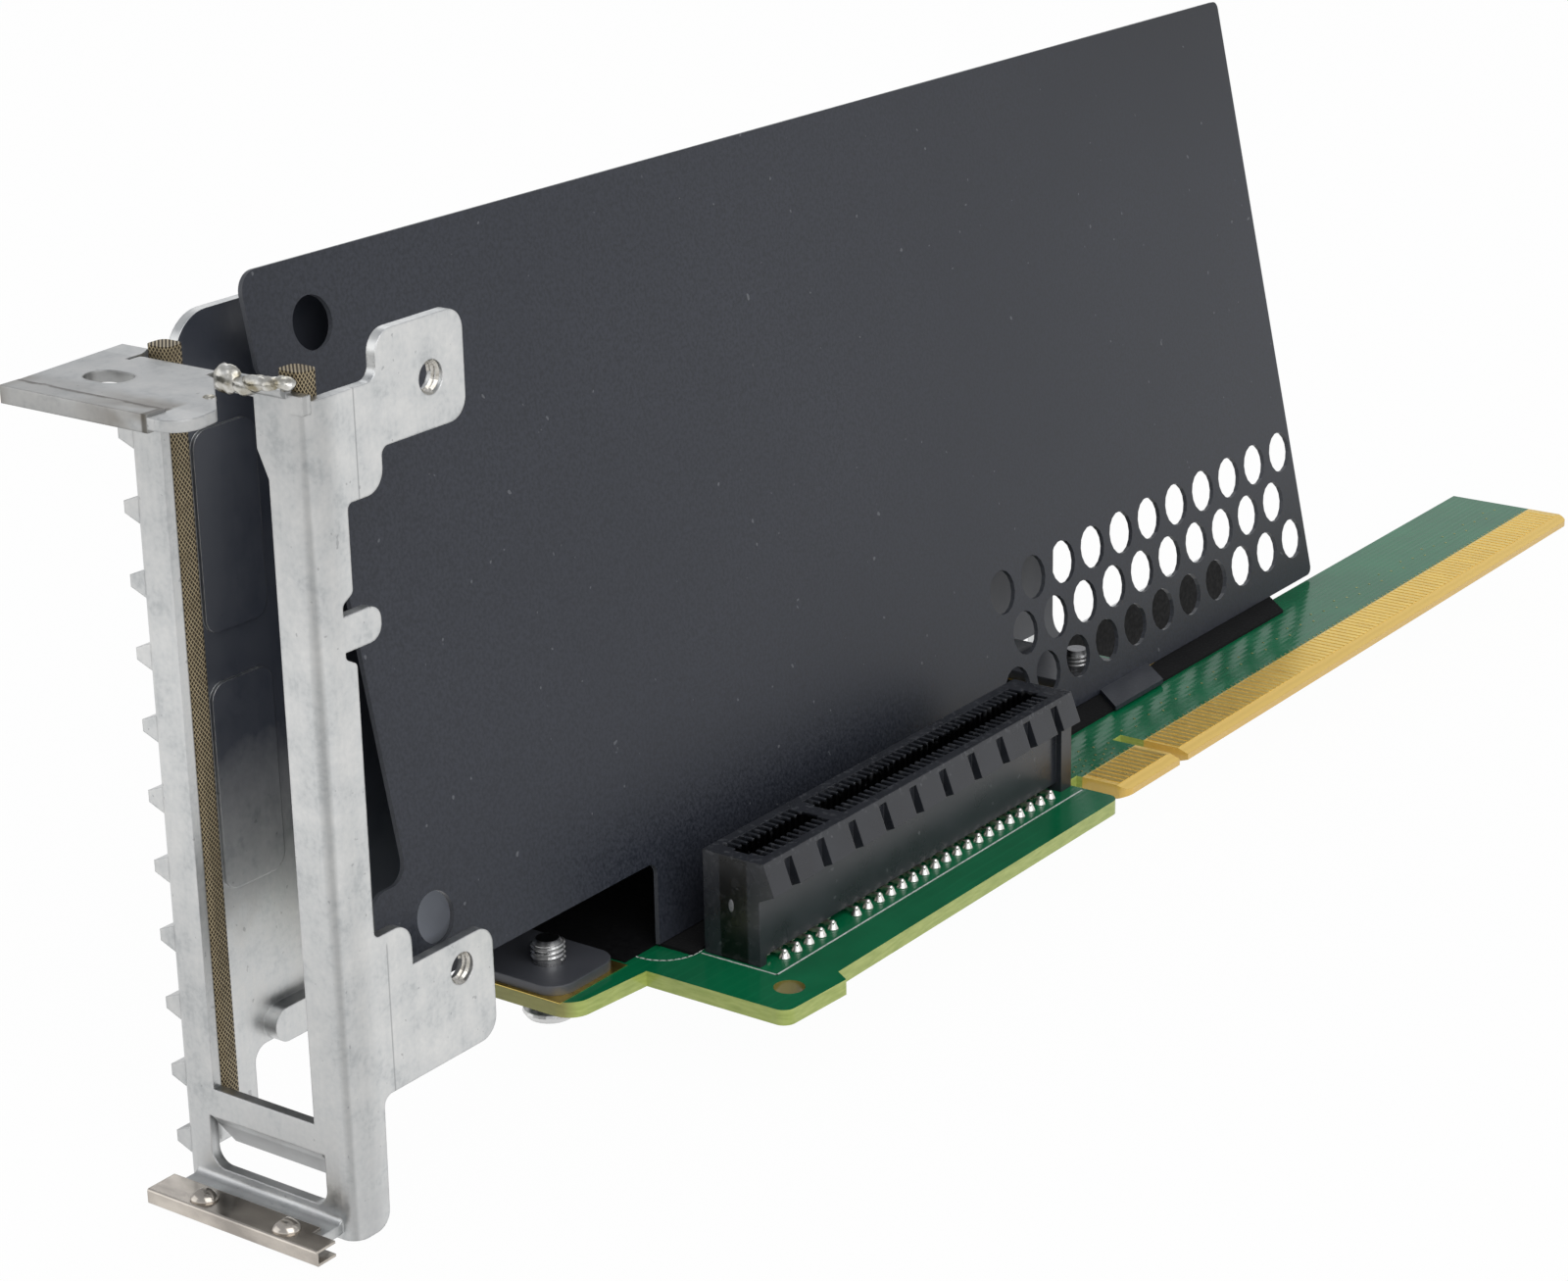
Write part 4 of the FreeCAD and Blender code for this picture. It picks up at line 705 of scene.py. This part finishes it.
# Painted shade between the film and the wall, and on the board tabs.
gap_shade = most(tree, board_tabs, both(tree, inner_face, dimmed))
gap_shade_tone = blend(tree, between(tree, away(tree, lower_hole), 0.0048, 0.0030),
                  blend(tree, board_tabs, (0.020, 0.025, 0.040), (0.062, 0.066, 0.080)),
                  (0.62, 0.66, 0.75))
tree.links.new(between(tree, gap_shade, 0.0, 1.0, 1.0, 0.1),
               tree.nodes["Principled BSDF"].inputs["Metallic"])
finish(steel, blend(tree, both(tree, gap_shade, 0.96), shaded_and_darker_low, gap_shade_tone),
       between(tree, tone, 0.38, 0.62, 0.32, 0.44), calc(tree, "ADD", tone, zinc["Fine"]),
       0.00004, 0.18, 0.00022)
dress(nodes["riser_cage"], steel)


def blob(work, centre, radii, sides=18, rings=10):
    """A lumpy ellipsoid."""
    rows = []
    for i in range(1, rings):
        lift = pi * i / rings
        row = []
        for k in range(sides):
            turn = 2 * pi * k / sides
            lump = 1 + 0.10 * sin(3 * turn + 900 * centre[0]) * sin(2 * lift)
            row.append(work.verts.new((centre[0] + radii[0] * lump * sin(lift) * cos(turn),
                                       centre[1] + radii[1] * lump * sin(lift) * sin(turn),
                                       centre[2] + radii[2] * lump * cos(lift))))
        rows.append(row)
    caps = [work.verts.new((centre[0], centre[1], centre[2] + radii[2])),
            work.verts.new((centre[0], centre[1], centre[2] - radii[2]))]
    for k in range(sides):
        n = (k + 1) % sides
        work.faces.new((caps[0], rows[0][k], rows[0][n]))
        work.faces.new((caps[1], rows[-1][n], rows[-1][k]))
        for first, second in zip(rows, rows[1:]):
            work.faces.new((first[k], second[k], second[n], first[n]))
    for face in work.faces:
        face.smooth = True


drips = bmesh.new()
for centre, radii in (
    ((-0.01330, -0.0503, 0.06650), (0.00150, 0.00090, 0.00125)),
    ((-0.01150, -0.0502, 0.06615), (0.00150, 0.00080, 0.00080)),
    ((-0.01000, -0.0502, 0.06655), (0.00160, 0.00080, 0.00070)),
    ((-0.00850, -0.0501, 0.06665), (0.00150, 0.00080, 0.00065)),
    ((-0.00730, -0.0500, 0.06690), (0.00110, 0.00080, 0.00060)),
    ((-0.00930, -0.0564, 0.06680), (0.00060, 0.00060, 0.00040)),
):
    blob(drips, centre, radii)
melt = shader("zinc_drip", 0.2, 1.0)
tree = melt.node_tree
frozen = noise(tree, spot(tree), 650, 3)
finish(melt, ramp(tree, frozen, (0.35, (0.26, 0.23, 0.16)), (0.5, (0.48, 0.465, 0.42)),
                  (0.65, (0.70, 0.69, 0.66))),
       between(tree, frozen, 0.3, 0.7, 0.22, 0.40), frozen, 0.0003, 0.6)
piece("zinc_drips", drips, melt)


# ---- Threads ------------------------------------------------------------------------------
# Rolled threads on the two board screws and tapped threads in the two ears, each one helical
# ridge that stands a little proud of the CAD's plain bore or stub. The screws' pan heads get
# their raised crowns round the recess.
def helix(work, frame_of, radius, crest, pitch, turns, sides=28):
    """A ridge of triangular section wound round an axis; frame_of places radius, angle, rise."""
    flank = 0.42 * pitch
    rows = []
    for i in range(int(turns * sides) + 1):
        angle = 2 * pi * i / sides
        rise = pitch * i / sides
        rows.append([work.verts.new(frame_of(place, angle, rise + step))
                     for place, step in ((radius, -flank), (crest, 0.0), (radius, flank))])
    for first, second in zip(rows, rows[1:]):
        for i in range(3):
            k = (i + 1) % 3
            work.faces.new((first[i], first[k], second[k], second[i]))
    work.faces.new(rows[0])
    work.faces.new(rows[-1][::-1])


screws_low, screws_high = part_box("mounting_screws")
screw_radius, thread_pitch = 0.0015, 0.0005
thread_foot = 0.0014
screw_x = (screws_low[0] + screws_high[0]) / 2
head_half = (screws_high[0] - screws_low[0]) / 2
screw_rows = (screws_low[1] + head_half, screws_high[1] - head_half)
threads = bmesh.new()
for screw_y in screw_rows:
    helix(threads, lambda radius, angle, rise: (screw_x + radius * cos(angle),
                                                screw_y + radius * sin(angle),
                                                thread_foot + rise),
          screw_radius - 0.00002, screw_radius + 0.00018, thread_pitch, 3.2)
zinc_plate = shader("zinc_plate", 0.28, 1.0)
tree = zinc_plate.node_tree
turning = noise(tree, spot(tree, (1, 1, 14)), 260, 3)
dark_tip = between(tree, axes(tree)["Z"], 0.0029, 0.0034)
bare = ramp(tree, turning, (0.3, (0.46, 0.46, 0.46)), (0.7, (0.70, 0.70, 0.69)))
finish(zinc_plate, blend(tree, both(tree, dark_tip, 0.75), bare, (0.08, 0.08, 0.09)),
       between(tree, turning, 0.3, 0.7, 0.2, 0.4), turning, 0.00004, 0.4, 0.0001)
dress(nodes["mounting_screws"], zinc_plate)
piece("screw_threads", threads, zinc_plate)

crowns = bmesh.new()
crown_section = [(0.0013, 0.00002), (0.0026, 0.00002), (0.0027, -0.0003), (0.0023, -0.0009),
                 (0.0017, -0.0010), (0.0014, -0.0007)]
crown_sides = 24
for screw_y in screw_rows:
    rows = []
    for i in range(crown_sides):
        angle = 2 * pi * i / crown_sides
        rows.append([crowns.verts.new((screw_x + radius * cos(angle),
                                       screw_y + radius * sin(angle), screws_low[2] + rise))
                     for radius, rise in crown_section])
    for i in range(crown_sides):
        first, second = rows[i], rows[(i + 1) % crown_sides]
        for k in range(len(crown_section)):
            n = (k + 1) % len(crown_section)
            crowns.faces.new((first[k], second[k], second[n], first[n]))
piece("screw_crowns", crowns, zinc_plate)

ear_y, ear_radius, ear_inside = -0.0346, 0.0015, -0.0071
tapped = bmesh.new()
for ear_z in (0.0641, 0.0104):
    helix(tapped, lambda radius, angle, rise: (ear_inside + rise, ear_y + radius * cos(angle),
                                               ear_z + radius * sin(angle)),
          ear_radius + 0.00001, ear_radius - 0.00024, thread_pitch, 2.8)
cut_steel = shader("cut_thread", 0.25, 1.0)
tree = cut_steel.node_tree
swarf = noise(tree, spot(tree), 1500, 3)
finish(cut_steel, ramp(tree, swarf, (0.3, (0.34, 0.32, 0.28)), (0.7, (0.66, 0.64, 0.60))),
       between(tree, swarf, 0.3, 0.7, 0.18, 0.35), swarf, 0.00003, 0.4)
piece("tapped_threads", tapped, cut_steel)

# ---- Gaskets ------------------------------------------------------------------------------
# Foam strips wrapped in knitted metallised yarn: a fine diamond mesh of warm wire over dark
# gaps.
mesh_cloth = shader("gasket_mesh", 0.5, 0.5, Specular_IOR_Level=0.5)
tree = mesh_cloth.node_tree
yarns = []
for lean in (1, -1):
    yarns.append(node(tree, "ShaderNodeTexWave", {"Vector": spot(tree, (lean, lean, 0.8))},
                      bands_direction="DIAGONAL", Scale=1500.0).outputs["Fac"])
knit = calc(tree, "MAXIMUM", yarns[0], yarns[1])
uneven = noise(tree, spot(tree), 700, 3)
wire = ramp(tree, knit, (0.60, (0.035, 0.026, 0.016)), (0.86, (0.20, 0.155, 0.085)),
            (0.99, (0.46, 0.38, 0.24)))
finish(mesh_cloth, blend(tree, between(tree, uneven, 0.45, 0.75, 0.0, 0.5), wire,
                         (0.12, 0.09, 0.05)),
       between(tree, knit, 0.5, 1.0, 0.7, 0.35), knit, 0.0001, 0.8)
for name in ("gasket_left", "gasket_right"):
    dress(nodes[name], mesh_cloth)

# ---- Grounding clip -----------------------------------------------------------------------
# Bright nickel-plated spring strip snapped over the lower flange, with two lanced contacts:
# half domes raised beside a slit, standing over the CAD's plain bosses. Each slit is a thin
# dark plate on the clip's face: painted shadow.
nickel = shader("nickel_plate", 0.18, 1.0)
tree = nickel.node_tree
plating = use(tree, mottle, spot(tree, (1, 2, 2)), Scale=150.0)
finish(nickel, ramp(tree, plating["Cloud"], (0.35, (0.34, 0.31, 0.28)),
                    (0.65, (0.60, 0.55, 0.49))),
       between(tree, plating["Cloud"], 0.3, 0.7, 0.12, 0.26), plating["Fine"], 0.00002, 0.2,
       0.00010)
dress(nodes["grounding_clip"], nickel)

clip_low, clip_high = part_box("grounding_clip")
dome_radius, dome_height, dome_sides, dome_rings = 0.00160, 0.00100, 24, 7
dome_turns = [2 * pi * k / dome_sides for k in range(dome_sides)]
clip_face = clip_high[2] - 0.0006
dome_y = clip_low[1] + 0.0017
clip_middle = (clip_low[0] + clip_high[0]) / 2
dome_apart = 0.0049
dome_columns = (clip_middle - dome_apart, clip_middle + dome_apart)
domes = bmesh.new()
for dome_x in dome_columns:
    rows = []
    for i in range(dome_rings):
        lift = i / (dome_rings - 1) * pi / 2
        rows.append([domes.verts.new((
            dome_x + dome_radius * cos(lift) * max(cos(turn), -0.35),
            dome_y + 0.8 * dome_radius * cos(lift) * sin(turn),
            clip_face + dome_height * sin(lift))) for turn in dome_turns])
    for first, second in zip(rows, rows[1:]):
        for k in range(dome_sides):
            n = (k + 1) % dome_sides
            face = domes.faces.new((first[k], first[n], second[n], second[k]))
            face.smooth = True
    domes.faces.new(rows[0][::-1])
    domes.faces.new(rows[-1])
piece("lanced_contacts", domes, nickel)

# Painted shadow: a thin dark plate on the clip's face for each slit.
slit_shadows = bmesh.new()
for dome_x in dome_columns:
    slab(slit_shadows, [(dome_x - 0.0016, dome_y - 0.0003), (dome_x - 0.0003, dome_y - 0.00115),
                 (dome_x - 0.00035, dome_y + 0.0007)], clip_face - 0.00002, clip_face + 0.00003)
shade = shader("slit_shadow", 0.6, 0.6)
tree = shade.node_tree
depth = noise(tree, spot(tree), 1500, 2)
finish(shade, ramp(tree, depth, (0.3, (0.015, 0.015, 0.015)), (0.7, (0.06, 0.055, 0.05))),
       between(tree, depth, 0.3, 0.7, 0.4, 0.7), depth, 0.00002, 0.4)
piece("lance_slits", slit_shadows, shade)

# ---- Insulating film ----------------------------------------------------------------------
# Dark blue-grey polycarbonate film with a fine velvet grain, punched and leant from the
# cage's ears to the board. Its cut edges are paler, painted shade darkens it towards its rear
# top corner, and it has picked up a little dust.
film = shader("insulating_film", 0.5, Specular_IOR_Level=0.35)
tree = film.node_tree
velvet = use(tree, grain, spot(tree), Scale=3000.0)
lint = use(tree, specks, spot(tree), Scale=1000.0, Rarity=0.775)
tint = ramp(tree, velvet["Height"], (0.35, (0.018, 0.021, 0.029)),
            (0.65, (0.038, 0.042, 0.055)))
drift = noise(tree, spot(tree), 24, 3)
tinted = blend(tree, between(tree, drift, 0.35, 0.65, 0.0, 0.3), tint, (0.016, 0.019, 0.027))
along = axes(tree)
# Painted shade towards the film's rear top corner.
rear_top_shade = both(tree, between(tree, along["Z"], 0.050, 0.070),
                between(tree, along["Y"], 0.045, 0.120), 0.5)
shaded = blend(tree, rear_top_shade, tinted, (0.006, 0.008, 0.012))
cut_edge = calc(tree, "LESS_THAN", calc(tree, "ABSOLUTE", facing(tree)["X"]), 0.6)
edged = blend(tree, both(tree, cut_edge, 0.4), shaded, (0.11, 0.115, 0.125))
finish(film, blend(tree, both(tree, lint["Mask"], 0.3), edged, (0.30, 0.31, 0.33)),
       between(tree, velvet["Height"], 0.3, 0.7, 0.36, 0.52), velvet["Height"], 0.00002, 0.35)
dress(nodes["insulator_film"], film)

# ---- Painted shade sheets behind the film -------------------------------------------------
# Near-black matt sheets put where there is only shade under the film's step and behind its
# lowest vents: painted shade. One sheet lies on the board, out to the wall, and one strip
# against the inside of the rear rail.
wall_inside = -0.0250
shade_sheet_mesh = bmesh.new()
sheet_left, sheet_right, sheet_front, sheet_rear = -0.0242, -0.0084, -0.0083, 0.0768
sheet_low, sheet_high = board_top + 0.00005, board_top + 0.00020
slab(shade_sheet_mesh, [(sheet_left, sheet_front), (sheet_right, sheet_front),
             (sheet_right, sheet_rear), (sheet_left, sheet_rear)], sheet_low, sheet_high)
strip_left, strip_right = wall_inside + 0.00002, wall_inside + 0.00012
strip_front, strip_rear = 0.0925, 0.1385
strip_low, strip_high = board_low[2] - 0.0081, -0.0023
slab(shade_sheet_mesh, [(strip_left, strip_front), (strip_right, strip_front),
             (strip_right, strip_rear), (strip_left, strip_rear)], strip_low, strip_high)
# Near black and matt: painted shade.
painted_shade_film = shader("painted_shade_film", 0.7, Specular_IOR_Level=0.15)
tree = painted_shade_film.node_tree
matt = use(tree, grain, spot(tree), Scale=1900.0)
finish(painted_shade_film, ramp(tree, matt["Height"], (0.3, (0.002, 0.002, 0.0024)),
                        (0.7, (0.004, 0.004, 0.0046))),
       between(tree, matt["Height"], 0.3, 0.7, 0.6, 0.8), matt["Height"], 0.00001, 0.2)
piece("film_apron", shade_sheet_mesh, painted_shade_film)

# ---- Foam tape: painted shade at the film's foot ------------------------------------------
# Black closed-cell foam tape under the film's foot; its near black is painted shade, standing
# for the contact shadow along the foot.
# Near black: painted shade along the film's foot.
foam = shader("foam_painted_shade", 0.8, Specular_IOR_Level=0.25)
tree = foam.node_tree
cells = node(tree, "ShaderNodeTexVoronoi", {"Vector": spot(tree)}, Scale=2400.0)
finish(foam, ramp(tree, cells.outputs["Distance"], (0.1, (0.0015, 0.0015, 0.0016)),
                  (0.6, (0.004, 0.004, 0.0045))),
       between(tree, cells.outputs["Distance"], 0.1, 0.6, 0.7, 0.9), cells.outputs["Distance"],
       0.00003, 0.5)
dress(nodes["foam_tape"], foam)

# ---- Adhesive bead ------------------------------------------------------------------------
# A short bead of clear amber adhesive squeezed out under the film's foot beside its flap.
bead_x, bead_start, bead_length, bead_radius = -0.0079, 0.0795, 0.012, 0.00026
bead_level, bead_steps = 0.00032, 24
bead = bmesh.new()
rows = []
for i in range(bead_steps + 1):
    share = i / bead_steps
    size = bead_radius * min(1.0, 6 * share, 6 * (1 - share)) * (1 + 0.15 * sin(11 * share * pi))
    rows.append([bead.verts.new((bead_x + size * cos(pi * k / 5),
                                 bead_start + bead_length * share,
                                 bead_level + 0.9 * size * sin(pi * k / 5)))
                 for k in range(6)])
for first, second in zip(rows, rows[1:]):
    for k in range(5):
        face = bead.faces.new((first[k], second[k], second[k + 1], first[k + 1]))
        face.smooth = True
    bead.faces.new((first[0], first[5], second[5], second[0]))
bead.faces.new(rows[0])
bead.faces.new(rows[-1])
resin = shader("amber_adhesive", 0.15, Coat_Weight=0.3)
tree = resin.node_tree
cured = noise(tree, spot(tree), 900, 3)
finish(resin, ramp(tree, cured, (0.3, (0.48, 0.29, 0.04)), (0.7, (0.78, 0.55, 0.14))),
       between(tree, cured, 0.3, 0.7, 0.1, 0.25), cured, 0.00003, 0.4)
piece("adhesive_bead", bead, resin)
